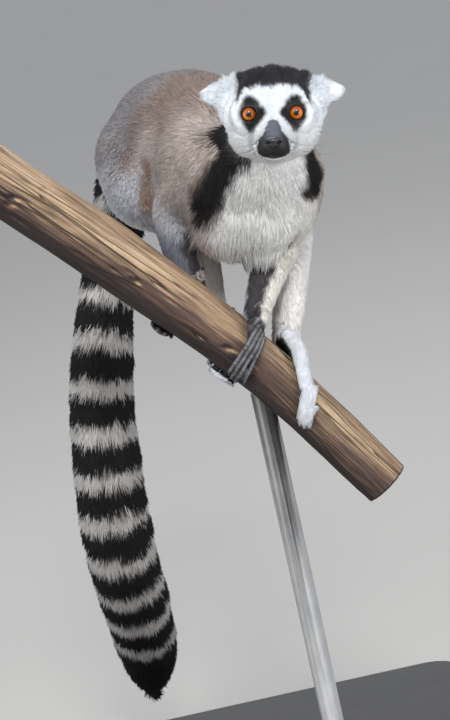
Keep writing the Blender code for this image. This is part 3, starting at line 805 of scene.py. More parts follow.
def head_colours(points):
    """White face with black eye patches, a dark cap and nape, and a slate muzzle with black lips; the lower
    face is painted a shaded grey.
    """
    sizes = HEAD.sizes(points)
    x, ahead, z = sizes.T
    ragged = noise(points, 2.6 * MM, 3)
    inside, gap = eye_patches(sizes, ragged * 0.6)
    front = ramp(ahead, -16, -8)
    # Painted shade: the lower face is greyer, and the white above it bluer, as lit from above
    colour = mixed(FACE_SHADED_GREY, FACE_WHITE, ramp(z + 4 * noise(points, 9 * MM, 5), -22, 6))
    arch = 19.6 - 7.5 * (np.abs(x) / 25) ** 6
    limit = np.where(x < 0, 27, 29)
    crown = ramp(z + ragged * 1.8 - arch, -1.2, 2.0) * ramp(limit + ragged - np.abs(x), -2.0, 2.0)
    nape = ramp(-ahead, 26, 38) * ramp(z, -26, -8)
    cap = np.maximum(crown, nape * ramp(34 - np.abs(x), -4, 4))
    cap_colour = mixed(CAP_GREY, (0.12, 0.11, 0.11), ramp(-ahead, 16, 48))
    colour = mixed(colour, cap_colour * (1 + 0.35 * noise(points, 3 * MM, 8))[:, None], cap)
    colour = mixed(colour, (0.40, 0.37, 0.35), 0.35 * ramp(-ahead, 14, 30) * ramp(-z, -6, 10))
    black = mixed(BLACK, (0.055, 0.052, 0.056), ramp(x, 0, 6) * ramp(-z, 6, 12))
    black = mixed(black, (0.10, 0.10, 0.105), ramp(-z, 8, 13) * ramp(gap, 8, 12))
    colour = mixed(colour, black, ramp(inside, -2.2, 1.5) * front)
    muzzle = by_table(MUZZLE_WIDTHS, z) + ragged * 0.45 - np.abs(x)
    over = mixed(SLATE, (0.014, 0.014, 0.017), ramp(np.abs(x), 2, 9))
    over = mixed(over, (0.008, 0.008, 0.009), ramp(-z, 19, 26))
    return mixed(colour, over, ramp(muzzle, -0.7, 0.9) * ramp(ahead, 4, 9))


def tail_colours(points):
    """Black and pale rings at an even pitch, and a black tip; the pale rings carry painted shade."""
    index = TAIL.nearest(points / MM)
    along = TAIL.along[index] + 2.6 * noise(points, 6 * MM, 11) + 2.0 * noise(points, 2.5 * MM, 12)
    phase = (along - FIRST_RING + RING_PITCH / 2) % RING_PITCH - RING_PITCH / 2
    black = ramp(RING_WIDTH / 2 - np.abs(phase), -1.6, 1.6) * ramp(along, 8, 20)
    black = np.maximum(black, ramp(along, TIP_BLACK - 3, TIP_BLACK + 3))
    # Painted shade: the tail's white rings are painted grey, more so towards the root
    light = mixed((0.44, 0.42, 0.42), (0.62, 0.60, 0.58), ramp(along, 0, 160))
    return mixed(light, (0.016, 0.015, 0.017), black)


def trunk_colours(points, normals):
    """Brown-grey back, bluer rump and shoulders, black neck patches and a white front and belly, with
    painted shadow in the fold before the right thigh and painted light and shade on the bib.
    """
    x, y, z = points.T / MM
    wide = noise(points, 24 * MM, 15)
    fine = noise(points, 5 * MM, 16)
    colour = mixed(BACK_BROWN, (0.25, 0.235, 0.245), ramp(y + 14 * wide, -26, 16))
    colour = mixed(colour, SHOULDER_GREY, ramp(655 - z + 10 * wide, 0, 26) * ramp(10 - y + 14 * wide, 0, 30))
    colour = mixed(colour, RUMP_GREY, ramp(626 - z + 12 * wide, 0, 34) * ramp(y + 24 + 14 * wide, -12, 18))
    # Painted shadow in the fold before the right thigh, drawn as a brown streak
    fold_shadow = 9 + 3 * fine - line_gap(points, FOLD_SHADOW_LINE)
    colour = mixed(colour, SHADE_BROWN, 0.85 * ramp(fold_shadow, -6, 6))
    colour = colour * (1 + 0.10 * wide + 0.10 * fine)[:, None]
    low = -normals[:, 2] + 0.22 * wide + 0.12 * fine
    colour = mixed(colour, CREAM, ramp(low, 0.28, 0.72))
    middle_of_bib, reach = BIB
    bib = np.linalg.norm((points / MM - middle_of_bib) / reach, axis=1) + 0.10 * wide + 0.07 * fine
    behind = ramp(40 + 0.63 * (z - 583) - x, -3, 3) * ramp(z - 577 + 3 * fine, -5, 5)
    # Painted light on the bib: whiter higher up, against the shadow under the chin, and painted shade
    # darkening it towards the animal's right
    white = mixed((0.78, 0.78, 0.775), (0.95, 0.95, 0.945), ramp(z + 6 * wide, 586, 606))
    white = white * (0.84 + 0.2 * ramp(x + 6 * wide, 60, 104))[:, None]
    colour = mixed(colour, white, ramp(1.08 - bib, -0.08, 0.12) * (1 - behind))
    for rows, width in NECK_PATCHES:
        patch = width + 2.5 * fine + 2.0 * wide - line_gap(points, rows)
        colour = mixed(colour, (0.12, 0.09, 0.078), 0.75 * ramp(patch, -9, -1) * ramp(-x, -60, -52))
        colour = mixed(colour, BLACK, ramp(patch, -3.5, 3.5))
    return colour


def limb_share(name, points):
    """How far along their limb points lie, from 0 to 1."""
    line = line_of(name)
    return line.along[line.nearest(points / MM)] / line.along[-1]


def arm_colours(points, normals, name):
    """Grey outside and cream inside, with a dark stripe down the front of the forearm."""
    along = limb_share(name, points)
    fine = noise(points, 4 * MM, 21)
    wide = noise(points, 11 * MM, 22)
    across = normals[:, 0] + 0.14 * fine + 0.1 * wide
    colour = mixed(SHOULDER_GREY, RUMP_GREY, ramp(along, 0.1, 0.5))
    if name.endswith("left"):
        stripe = ramp(across, -0.95, -0.75) * ramp(-across, -0.55, -0.15)
        colour = mixed(colour, CREAM, ramp(across, 0.1, 0.6))
        colour = mixed(colour, ARM_DARK, stripe * ramp(along, 0.16, 0.34))
        colour = mixed(colour, CREAM, ramp(normals[:, 1] + 0.15 * wide, 0.2, 0.6))
    else:
        colour = mixed(colour, (0.22, 0.23, 0.28), ramp(along, 0.34, 0.6))
        colour = mixed(colour, ARM_DARK, ramp(across, -0.05, 0.35) * ramp(along, 0.1, 0.3))
        colour = mixed(colour, CREAM, 0.6 * ramp(across, 0.8, 0.98) * ramp(along, 0.3, 0.5))
        colour = mixed(colour, CREAM, ramp(normals[:, 1] + 0.15 * wide, 0.3, 0.75))
    colour = mixed(trunk_colours(points, normals), colour, ramp(along + 0.05 * wide, 0.14, 0.40))
    return colour * (1 + 0.10 * fine)[:, None]


def leg_colours(points, normals, name):
    """Blue-grey thigh and pale shank, cream inside, with painted shade under the right thigh and painted
    light on the right shank.
    """
    along = limb_share(name, points)
    fine = noise(points, 4 * MM, 25)
    wide = noise(points, 14 * MM, 26)
    inner = normals[:, 0] * (1 if name.endswith("right") else -1)
    colour = mixed(RUMP_GREY, (0.46, 0.46, 0.48), ramp(along + 0.08 * wide, 0.3, 0.65))
    if name.endswith("left"):
        colour = mixed(colour, (0.90, 0.88, 0.86), ramp(along + 0.08 * wide, 0.34, 0.52))
    else:
        # Painted shade: brown under the top of the right thigh, where it faces down
        colour = mixed(colour, SHADE_BROWN, 0.6 * ramp(-normals[:, 2], 0.1, 0.7) * ramp(0.45 - along, 0, 0.2))
        # Partly painted light: the right shank's pale fur is made brighter still, against the shade under
        # the belly
        colour = mixed(colour, (0.93, 0.86, 0.80), ramp(along + 0.06 * wide, 0.40, 0.55))
    colour = mixed(colour, CREAM, ramp(inner - normals[:, 2] * 0.4 + 0.15 * wide, 0.3, 0.8))
    colour = mixed(trunk_colours(points, normals), colour, ramp(along + 0.08 * wide, 0.22, 0.52))
    return colour * (1 + 0.10 * fine)[:, None]


CREASES = (0.30, 0.37, 0.62, 0.70)  # shares of a digit's length where its skin creases, beside its joints
CREASE_REACH = 0.018


def hand_colours(points, name):
    """Dark skin with painted highlights along the backs of the digits, broken at their creases, and paler on
    the back of the hand.
    """
    digits = [through(digit_rows(*digit), 5) for digit in GRIPS[name][1]]
    rows = np.vstack(digits)
    ways = unit(rows[:, :3] - PERCH.points[PERCH.nearest(rows[:, :3]), :3])
    index = nearest_row(points / MM, rows[:, :3])
    gap = points / MM - rows[index, :3]
    lift = dot(gap, ways[index])
    aside = np.linalg.norm(gap - ways[index] * lift[:, None], axis=1) / rows[index, 3]
    share = index % len(digits[0]) / len(digits[0])
    joints = sum(np.exp(-(((share - place) / CREASE_REACH) ** 2)) for place in CREASES)
    # Painted highlight along the back of each digit, broken at its creases
    ridge_highlight = ramp(0.95 - aside, 0.0, 0.6) * ramp(lift, 0, 1) * (1 - 0.55 * np.clip(joints, 0, 1))
    back = ramp(aside, 1.3, 2.6) * 0.3
    patchy = 0.75 + 0.35 * noise(points, 4.5 * MM, 34)
    pale = np.clip(np.maximum(ridge_highlight * patchy, back) + 0.16 * noise(points, 2.2 * MM, 31), 0, 1)
    return mixed(SKIN_DARK, HAND_HIGHLIGHT_GREY, pale)


def foot_colours(points, normals, name):
    """Pale fur on top of the foot, dark bare sole and toe ends."""
    fine = noise(points, 3 * MM, 33)
    inward = perch_side(points, normals)
    pale = mixed((0.84, 0.87, 0.92), (0.76, 0.79, 0.85), ramp(limb_share(name, points), 0.85, 1.0))
    cloud = noise(points, 7 * MM, 35)
    pale = pale * (0.94 + 0.09 * fine + 0.09 * cloud)[:, None]
    return mixed(pale, SKIN_DARK, ramp(inward + 0.2 * fine, 0.15, 0.55))


def perch_side(points, normals):
    """How much a surface faces the perch's centre line, from -1 to 1."""
    index = PERCH.nearest(points / MM)
    return dot(normals, unit(PERCH.points[index, :3] - points / MM))


def part_colours(points, normals, name):
    """The markings of one flesh node."""
    kind = kind_of(name)
    if kind in ("head", "ear"):
        return head_colours(points)
    if kind == "tail":
        return tail_colours(points)
    if kind in ("upper_arm", "forearm"):
        return arm_colours(points, normals, name)
    if kind in ("thigh", "shank"):
        return leg_colours(points, normals, name)
    if kind == "hand":
        return hand_colours(points, name)
    if kind == "foot":
        return foot_colours(points, normals, name)
    return trunk_colours(points, normals)


def colours(points, normals, shares):
    """The animal's markings: each part's colours, blended by that part's share at each point."""
    total = np.zeros((len(points), 3))
    for name, share in zip(FLESH, shares.T):
        mine = share > 0.004
        if mine.any():
            made = part_colours(points[mine], normals[mine], name)
            total[mine] += np.clip(made, 0.004, 0.95) * share[mine, None]
    return total / np.maximum(shares.sum(1), 1e-6)[:, None]


# --- lie of the coat ---------------------------------------------------------------------------------

TRUNK = Line([centroid(name) / MM for name in ("head", "neck", "chest", "belly", "rump", "tail_1")])


def limb_line(side, root, *parts):
    """From a point in the trunk through the middles of a limb's parts."""
    start = (centroid(root) + centroid(f"{parts[0]}_{side}")) / 2
    return Line([start / MM, *(centroid(f"{part}_{side}") / MM for part in parts)])


ARMS = {side: limb_line(side, "chest", "upper_arm", "forearm", "hand") for side in SIDES}
LEGS = {side: limb_line(side, "rump", "thigh", "shank", "foot") for side in SIDES}


def line_of(name):
    """The centre line that a part's hair follows."""
    side = name.rsplit("_", 1)[-1]
    kind = kind_of(name)
    if kind == "tail":
        return TAIL
    if kind == "ear":
        root, tip = (HEAD.place(SIDES[side] * x, ahead, z) / MM for x, ahead, z in (EAR_ROOT, EAR_TIP))
        return Line([root, (root + tip) / 2, tip])
    if kind in ("upper_arm", "forearm", "hand"):
        return ARMS[side]
    if kind in ("thigh", "shank", "foot"):
        return LEGS[side]
    return TRUNK


def head_flow(points):
    """Away from the nose, and away from the nearer eye close to it."""
    sizes = HEAD.sizes(points)
    away = unit(sizes - np.array([0, NOSE_AHEAD, -NOSE_BELOW]))
    side = np.sign(sizes[:, 0])
    gap = sizes - np.stack([side * HEAD.eye_spread, np.full(len(sizes), -EYE_SET), np.zeros(len(sizes))], 1)
    reach = np.linalg.norm(gap, axis=1)
    away += unit(gap) * (1.0 * (1 - ramp(reach, 8, 30)))[:, None]
    away[:, 2] -= 0.35 * ramp(-sizes[:, 2], 0, 26)
    return away @ HEAD.axes


DROOP = {"belly": 0.45, "rump": 0.45, "thigh": 0.3, "upper_arm": 0.3}  # how much the hair turns downwards


def lie(points, normals, nodes, edges):
    """The way the hair lies at each point of the skin, as a unit vector along it."""
    flow = np.zeros_like(points)
    for index, name in enumerate(FLESH):
        mine = nodes == index
        if not mine.any():
            continue
        kind = kind_of(name)
        if kind == "head":
            flow[mine] = head_flow(points[mine])
            continue
        line = line_of(name)
        flow[mine] = line.tangents[line.nearest(points[mine] / MM)]
        if kind in ("neck", "chest"):
            flow[mine, 2] -= 1.1 * ramp(-normals[mine, 1], -0.1, 0.6)
        flow[mine, 2] -= DROOP.get(kind, 0)
    for _ in range(3):
        flow -= normals * dot(flow, normals)[:, None]
        flow = spread(unit(flow), edges, 5)
    flow -= normals * dot(flow, normals)[:, None]
    for side, sign in SIDES.items():
        mine = nodes == FLESH.index(f"ear_{side}")
        across, ahead, up = EAR_POINT
        flow[mine] = unit(HEAD.place(sign * across, ahead, up) - points[mine])
    return unit(flow)


# --- coat --------------------------------------------------------------------------------------------

# Each coat piece: a slot name and the parts it grows on
COAT_PIECES = {
    "coat_head": ("white_coat", ("head",)),
    "coat_ears": ("white_coat", ("ear_left", "ear_right")),
    "coat_neck": ("grey_coat", ("neck",)),
    "coat_breast": ("white_coat", ("chest",)),
    "coat_back": ("brown_grey_coat", ("belly",)),
    "coat_rump": ("blue_grey_coat", ("rump",)),
    "coat_arms": ("grey_coat", ("upper_arm_right", "upper_arm_left", "forearm_right", "forearm_left")),
    "coat_hands": ("grey_coat", ("hand_right", "hand_left")),
    "coat_thighs": ("blue_grey_coat", ("thigh_right", "thigh_left")),
    "coat_shanks": ("blue_grey_coat", ("shank_right", "shank_left")),
    "coat_feet": ("foot_coat", ("foot_right", "foot_left")),
    "coat_tail_root": ("ringed_coat", ("tail_1",)),
    "coat_tail_upper": ("ringed_coat", ("tail_2",)),
    "coat_tail_lower": ("ringed_coat", ("tail_3", "tail_4")),
    "coat_tail_tip": ("ringed_coat", ("tail_5",)),
}
PATCH = 0.003  # size of a tuft's patch on its piece's map
# A tuft's points are its root, the two sides of its bend and its tip
TUFT_PATCH = np.array([(-0.5, 0), (0.05, -0.5), (0.1, 0.5), (0.5, 0.06)])
TUFT_FACES = np.array([(0, 1, 2), (3, 2, 1), (0, 3, 1), (0, 2, 3)])
TONE_ALONG = np.array([0.66, 0.95, 0.95, 1.10])  # each of its points' share of the tuft's colour
PER_LOCK = 14  # tufts to a lock
BEND = 0.42  # where along a tuft its bend is
PALE_SHARE = 0.14  # of the tufts in brown and grey parts
DARK_SHARE = 0.20
CAPPED = ("head", "ear", "rump")  # parts whose map opens from an end point, not along a tube


class Skin:
    """The finished skin's points with what the coat needs at each, kept on its mesh as attributes."""

    def __init__(self):
        obj = bpy.data.objects.get("skin")
        if obj is None:
            raise RuntimeError("The skin has to be made before its coat")
        mesh = obj.data
        self.points = points_of(mesh)
        self.normals = unit(spread(normals_of(mesh), edges_of(mesh), 4))
        self.faces = read(mesh.polygons, "vertices", 3, np.int32)
        self.flow = read(mesh.attributes["lie"].data, "vector", 3)

        def kept(name):
            return read(mesh.attributes[name].data, "value", 1)

        self.nodes = kept("part").astype(int)
        self.room = kept("room")
        self.spare = kept("spare")
        self.length = kept("hair_length")
        self.width = kept("hair_width")
        self.density = kept("density")
        self.shares = np.stack([kept(f"share_{name}") for name in FLESH], axis=1)


def bare(points, nodes):
    """1 where the head's skin shows bare, at its lids, muzzle and lips, and 0 in the coat."""
    sizes = HEAD.sizes(points)
    x, ahead, z = sizes.T
    _, gap = eye_patches(sizes, 0)
    eyes = (1 - ramp(gap, 7.6, 8.4)) * ramp(ahead, -12, -9)
    muzzle = ramp(by_table(MUZZLE_WIDTHS, z) - np.abs(x), -1.5, 1.0) * ramp(ahead, 0, 4)
    return np.maximum(eyes, muzzle) * is_kind(nodes, "head", "ear")


def lie_along(points, nodes, kinds):
    """The way along the centre line of the parts of these kinds, and nought elsewhere."""
    ways = np.zeros_like(points)
    for index, name in enumerate(FLESH):
        mine = nodes == index
        if kind_of(name) in kinds and mine.any():
            line = line_of(name)
            ways[mine] = line.tangents[line.nearest(points[mine] / MM)]
    return ways


def wispy(points, normals, nodes):
    """How many mm further the coat's ends stand out: at the cheeks, the crown and the foot of the bib."""
    x, ahead, z = HEAD.sizes(points).T
    cheeks = ramp(np.abs(x), 24, 33) * ramp(-ahead, -6, 8)
    crown = ramp(z, 13, 21)
    bib = is_kind(nodes, "chest") * ramp(590 - points[:, 2] / MM, 0, 24) * ramp(-normals[:, 1], -0.2, 0.4)
    return (2.6 * cheeks + 3.2 * crown) * is_kind(nodes, "head") + 3.4 * bib


def depth_under(tree, points):
    """How deep in mm each point lies under a closed surface, and 0 outside it."""
    depths = np.empty(len(points))
    for index, point in enumerate(points):
        spot, way, _, gap = tree.find_nearest(Vector(point))
        depths[index] = gap if dot(point - np.array(spot), np.array(way)) < 0 else 0
    return depths / MM


def clothe_skin(skin, outside, nodes):
    """Writes what the coat needs at each point on the skin's mesh."""
    mesh = skin.data
    points, normals, edges = points_of(mesh), normals_of(mesh), edges_of(mesh)
    ends = Nodes(ENDS)
    end_gap = ends.gap(points)
    perch_gap = gaps(tree_of(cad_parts["perch"]), points)
    of_point = nodes.at(points)
    gripping = (perch_gap < 10) & (end_gap < 6)
    of_point[gripping] = ends.at(points[gripping])
    on_end = is_kind(of_point, "hand", "foot")
    shows_bare = bare(points, of_point)
    shares = spread(np.eye(len(FLESH))[of_point], edges, 6)

    # Room for the hair to stand up in, and how much further than that its ends may go
    spare = coat_value(of_point, STRAY) + wispy(points, normals, of_point)
    spare = spread(spare * (1 - shows_bare), edges, 6)
    room = spread(depth_under(tree_of(outside), points), edges, 2) + spare * 0.7
    room = np.where(is_kind(of_point, "ear"), 0.7, room)
    room = np.where(on_end, np.minimum(room, 0.8), room)

    # Hair is shorter on the face, and is kept from reaching over the hands, the feet and the perch
    sizes = HEAD.sizes(points)
    face = ramp(sizes[:, 1], -24, -4) * ramp(40 - np.linalg.norm(sizes, axis=1), 0, 12)
    face *= is_kind(of_point, "head")
    length = spread(coat_value(of_point, LENGTH), edges, 10)
    length = length * (1 - 0.42 * face) + 1.6 * spare
    own = coat_value(ends.at(points), LENGTH)
    length = np.minimum(length, own + 0.45 * end_gap)
    length = np.minimum(length, np.where(on_end, own, 2.0 + 0.8 * perch_gap))

    # None grows on the cut ends of forearms and shanks, inside the hands and feet
    density = spread(coat_value(of_point, DENSITY), edges, 6) * (1 + 0.5 * face) * (1 - shows_bare)
    cut_end = dot(normals, lie_along(points, of_point, ("forearm", "shank")))
    values = {
        "part": of_point,
        "bare": shows_bare,
        "room": room,
        "spare": spare,
        "hair_length": length,
        "hair_width": spread(coat_value(of_point, HALF_WIDTH), edges, 6),
        "density": density * (1 - ramp(cut_end, 0.35, 0.7)),
    }
    values.update((f"share_{name}", share) for name, share in zip(FLESH, shares.T))
    for name, value in values.items():
        put_attribute(mesh, name, "FLOAT", "value", value)
    put_attribute(mesh, "lie", "FLOAT_VECTOR", "vector", lie(points, normals, of_point, edges))
    shade = colours(points, spread(normals, edges, 4), shares)
    put_attribute(mesh, "markings", "FLOAT_COLOR", "color", np.column_stack([shade, np.ones(len(shade))]))


def sown(skin, names, rng, share):
    """Random points on these parts of the skin, as many to a square millimetre as its density says.

    Gives for each point the corners of its triangle and their weights.
    """
    corners = skin.faces
    belongs = np.isin(skin.nodes[corners[:, 0]], [FLESH.index(name) for name in names])
    faces = np.flatnonzero(belongs)
    a, b, c = (skin.points[corners[faces, k]] / MM for k in range(3))
    area = np.linalg.norm(np.cross(b - a, c - a), axis=1) / 2
    wanted = area * skin.density[corners[faces]].mean(1) * share
    edge = np.cumsum(wanted)
    count = int(edge[-1])
    spots = (np.arange(count) + rng.random(count)) * edge[-1] / count
    chosen = faces[np.minimum(np.searchsorted(edge, spots), len(faces) - 1)]
    u, v = rng.random((2, count))
    fold = u + v > 1
    u[fold], v[fold] = 1 - u[fold], 1 - v[fold]
    return corners[chosen], np.stack([1 - u - v, u, v], 1)


def unwrap(names, points, of_part):
    """Each point's place on its piece's map: a band for each part, unrolled round its centre line."""
    place = np.empty((len(points), 2))
    for band, name in enumerate(names):
        mine = of_part == FLESH.index(name)
        if not mine.any():
            continue
        spots = points[mine] / MM
        line = line_of(name)
        if kind_of(name) in CAPPED:
            axis = HEAD.forward if name == "head" else unit(line.points[-1, :3] - line.points[0, :3])
            away = unit(spots - spots.mean(0))
            along = np.arccos(np.clip(away @ axis, -1, 1)) / math.pi
        else:
            index = line.nearest(spots)
            axis = line.tangents[index]
            away = unit(spots - line.points[index, :3])
            along = line.along[index] + dot(spots - line.points[index, :3], axis)
            along = (along - along.min()) / (along.max() - along.min())
        axis = np.broadcast_to(axis, away.shape)
        first = unit(np.cross(axis, (1.0, 0.0, 0.02)))
        second = np.cross(axis, first)
        turn = np.arctan2(dot(away, second), dot(away, first)) / (2 * math.pi) + 0.5
        margin = PATCH * len(names)
        turn = margin + turn * (1 - 2 * margin)
        place[mine] = np.stack([(band + turn) / len(names), PATCH + along * (1 - 2 * PATCH)], 1)
    return place


def gathered(roots, tips, rng, per_lock, pull):
    """Draws each tip towards that of the nearest lock's middle hair."""
    heads = rng.choice(len(roots), max(1, len(roots) // per_lock), replace=False)
    tree = KDTree(len(heads))
    for index, point in enumerate(roots[heads]):
        tree.insert(point, index)
    tree.balance()
    lock = heads[np.array([tree.find(point)[1] for point in roots])]
    shift = (tips[lock] - tips) * pull[:, None]
    most = 0.45 * np.linalg.norm(tips - roots, axis=1)
    return tips + shift * np.minimum(1, most / np.maximum(np.linalg.norm(shift, axis=1), 1e-9))[:, None]


def held_in(points, tree, spare, most):
    """Moves points back, by up to most (mm), that stand further out of the coat's outline than they may."""
    near, ways = np.empty_like(points), np.empty_like(points)
    for index, point in enumerate(points):
        near[index], ways[index] = tree.find_nearest(point)[:2]
    over = dot(points - near, ways) / MM - spare
    return points - ways * np.clip(over, 0, most)[:, None] * MM


def tinted(points, normals, shares, plain, rng):
    """The tufts' colours: the markings, with pale and dark hairs mixed in where the coat isn't plain."""
    count = len(points)
    tone = colours(points, normals, shares)
    tone = tone * np.clip(1 + rng.normal(0, 0.07, count), 0.75, 1.25)[:, None]
    bright = tone.mean(1)
    speckled = (bright < 0.5) & (bright > 0.05) & ~plain
    dice = rng.random(count)
    pale = speckled & (dice < PALE_SHARE)
    dark = speckled & (dice > 1 - DARK_SHARE)
    tone = np.where(pale[:, None], tone * 1.22 + 0.02, np.where(dark[:, None], tone * 0.70, tone))
    return np.clip(tone[:, None] * TONE_ALONG[None, :, None], 0.003, 0.97)


def grow(piece, names, skin, outline, settings, seed):
    """One coat piece: a closed flat blade for every tuft, bent to lie along the body."""
    rng = np.random.default_rng(seed)
    corners, weights = sown(skin, names, rng, settings.density)

    def pick(values):
        return (values[corners] * (weights if values.ndim == 1 else weights[..., None])).sum(1)

    roots, normals, flow = pick(skin.points), unit(pick(skin.normals)), pick(skin.flow)
    room, length, width, spare = map(pick, (skin.room, skin.length, skin.width, skin.spare))
    count = len(roots)
    node = skin.nodes[corners[:, 0]]
    tail = is_kind(node, "tail")

    # The way each tuft lies: along the flow, swayed a little to one side
    rise = np.clip(dot(flow, normals), 0, 0.97)
    flow = unit(flow - normals * dot(flow, normals)[:, None])
    side = np.cross(normals, flow)
    sway = 0.34 * noise(roots, 9 * MM, seed) + 0.26 * noise(roots, 3.5 * MM, seed + 40)
    sway += rng.normal(0, 0.16, count)
    sway *= np.where(rise > 0.3, 0.5, 1) * (0.45 if piece == "coat_ears" else 1)
    flow = flow * np.cos(sway)[:, None] + side * np.sin(sway)[:, None]
    side = np.cross(normals, flow)

    # Its tip: as high as there is room for, drawn to its lock and held in the coat's outline
    length = length * settings.length * (0.72 + 0.5 * rng.random(count))
    height = np.minimum(room * (0.72 + 0.34 * rng.random(count)), length * 0.8)
    height = np.maximum(height, length * np.maximum(rise, 0.10))
    reach = np.sqrt(np.maximum(length**2 - height**2, 0.1))
    tips = roots + (flow * reach[:, None] + normals * height[:, None]) * MM
    pull = np.clip(0.25 + 0.35 * noise(roots, 14 * MM, seed + 7), 0, 0.65) * settings.locks
    pull = pull * np.where(tail, 1.0, np.clip(length / 11, 0.5, 2))
    tips = gathered(roots, tips, rng, PER_LOCK, pull)
    tips = held_in(tips, outline, 0.3 + (1.0 + spare) * rng.random(count) ** 1.5, 0.5 * length)

    # Its blade: the root, two points at the bend and the tip, with normals that lean from side to side
    bend = roots + (tips - roots) * BEND + normals * (height * 0.26 + 0.12)[:, None] * MM
    half = side * ((width * (0.75 + 0.5 * rng.random(count)))[:, None] * MM)
    points = np.stack([roots, bend - half, bend + half, tips], axis=1)
    leans = (-0.4 * side, 0.4 * side, 0.25 * flow)
    ways = np.stack([normals, *(unit(normals + lean) for lean in leans)], axis=1)
    shade = tinted(bend, normals, pick(skin.shares), tail, rng)
    places = unwrap(names, roots, node)[:, None] + TUFT_PATCH[None] * PATCH
    return tuft_mesh(piece, points, ways, shade, places)


def tuft_mesh(name, points, ways, shade, places):
    """Joins tufts into one object, with their normals, colours and places on its map."""
    count, each = points.shape[:2]
    faces = (np.arange(count)[:, None, None] * each + TUFT_FACES[None]).reshape(-1, 3)
    mesh = bpy.data.meshes.new(name)
    mesh.vertices.add(count * each)
    mesh.loops.add(faces.size)
    mesh.polygons.add(len(faces))
    mesh.vertices.foreach_set("co", points.astype(np.float32).ravel())
    mesh.loops.foreach_set("vertex_index", faces.ravel().astype(np.int32))
    mesh.polygons.foreach_set("loop_start", np.arange(0, faces.size, 3, dtype=np.int32))
    mesh.update(calc_edges=True)
    obj = bpy.data.objects.new(name, mesh)
    bpy.context.scene.collection.objects.link(obj)
    mesh.shade_smooth()
    mesh.normals_split_custom_set_from_vertices(ways.reshape(-1, 3).astype(np.float32))
    shade = np.concatenate([shade, np.ones((*shade.shape[:2], 1))], axis=2)
    put_attribute(mesh, "markings", "FLOAT_COLOR", "color", shade)
    layer = mesh.uv_layers.new(name="OFBake")
    layer.uv.foreach_set("vector", places.reshape(-1, 2)[faces.ravel()].astype(np.float32).ravel())
    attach(obj, "root")
    return obj


# --- finishes ----------------------------------------------------------------------------------------


class Wire:
    """A shader socket that takes part in Python expressions."""

    def __init__(self, finish, socket):
        self.finish = finish
        self.socket = socket

    def maths(self, operation, *values):
        return self.finish.node("ShaderNodeMath", {"operation": operation}, dict(enumerate(values)))

    def __add__(self, other):
        return self.maths("ADD", self, other)

    def __radd__(self, other):
        return self.maths("ADD", other, self)

    def __sub__(self, other):
        return self.maths("SUBTRACT", self, other)

    def __rsub__(self, other):
        return self.maths("SUBTRACT", other, self)

    def __mul__(self, other):
        return self.maths("MULTIPLY", self, other)

    def __rmul__(self, other):
        return self.maths("MULTIPLY", other, self)

    def __truediv__(self, other):
        return self.maths("DIVIDE", self, other)

    def __pow__(self, other):
        return self.maths("POWER", self, other)


class Finish:
    """A procedural material: one Principled shader, with what varies over the surface linked into it."""

    def __init__(self, name, **uniform):
        self.material = bpy.data.materials.new(name)
        self.material.use_nodes = True
        self.tree = self.material.node_tree
        self.shader = self.tree.nodes["Principled BSDF"]
        self.put(**uniform)

    def feed(self, socket, value):
        if isinstance(value, Wire):
            self.tree.links.new(value.socket, socket)
        elif isinstance(value, (tuple, list)) and len(value) == 3 and socket.type == "RGBA":
            socket.default_value = (*value, 1)
        else:
            socket.default_value = value

    def node(self, kind, settings=None, sockets=None, out=0):
        """Adds a node, sets it up, feeds its sockets and gives the wire of one output."""
        made = self.tree.nodes.new(kind)
        for key, value in (settings or {}).items():
            if key != "stops":
                setattr(made, key, value)
                continue
            stops = made.color_ramp.elements
            while len(stops) < len(value):
                stops.new(0.5)
            for stop, (place, colour) in zip(stops, value):
                stop.position = place
                stop.color = (*colour, 1)
        for key, value in (sockets or {}).items():
            self.feed(made.inputs[key], value)
        return Wire(self, made.outputs[out])

    def put(self, **sockets):
        """Sets or links the shader's own sockets, with underscores for the spaces in their names."""
        for key, value in sockets.items():
            self.feed(self.shader.inputs[key.replace("_", " ")], value)

    def place(self):
        return self.node("ShaderNodeTexCoord", out="Object")

    def attribute(self, name, out="Fac"):
        return self.node("ShaderNodeAttribute", {"attribute_name": name}, out=out)

    def scaled(self, vector, scale):
        return self.node("ShaderNodeMapping", None, {"Vector": vector, "Scale": scale})

    def noise(self, vector, size, detail=3.0, roughness=0.55):
        """Noise from 0 to 1 with lumps of about that size in metres."""
        sockets = {"Vector": vector, "Scale": 1 / size, "Detail": detail, "Roughness": roughness}
        return self.node("ShaderNodeTexNoise", None, sockets)

    def step(self, value, low, high):
        sockets = {"Value": value, "From Min": low, "From Max": high}
        return self.node("ShaderNodeMapRange", {"interpolation_type": "SMOOTHSTEP"}, sockets)

    def cells(self, vector, size, feature="F1"):
        """Distances in a pattern of cells of about that size in metres."""
        sockets = {"Vector": vector, "Scale": 1 / size}
        return self.node("ShaderNodeTexVoronoi", {"feature": feature}, sockets, "Distance")

    def mix(self, share, first, second, blend="MIX"):
        """Two colours, mixed."""
        settings = {"data_type": "RGBA", "blend_type": blend}
        return self.node("ShaderNodeMix", settings, {0: share, 6: first, 7: second}, 2)

    def ramp(self, value, *stops):
        return self.node("ShaderNodeValToRGB", {"stops": stops}, {"Fac": value})

    def bump(self, height, distance, strength=1.0):
        sockets = {"Height": height, "Distance": distance, "Strength": strength}
        self.put(Normal=self.node("ShaderNodeBump", None, sockets))

    def give(self, obj):
        obj.data.materials.clear()
        obj.data.materials.append(self.material)


def coat_finish():
    """Soft hair: the tufts' own colours with fine streaks."""
    finish = Finish("soft coat", Roughness=0.82, Specular_IOR_Level=0.22)
    streaks = finish.noise(finish.scaled(finish.place(), (1, 1, 0.6)), 0.0012, 2.0)
    shade = finish.ramp(streaks, (0.3, (0.5,) * 3), (0.7, (1.0,) * 3))
    finish.put(Base_Color=finish.mix(0.22, finish.attribute("markings", "Color"), shade, "MULTIPLY"))
    return finish


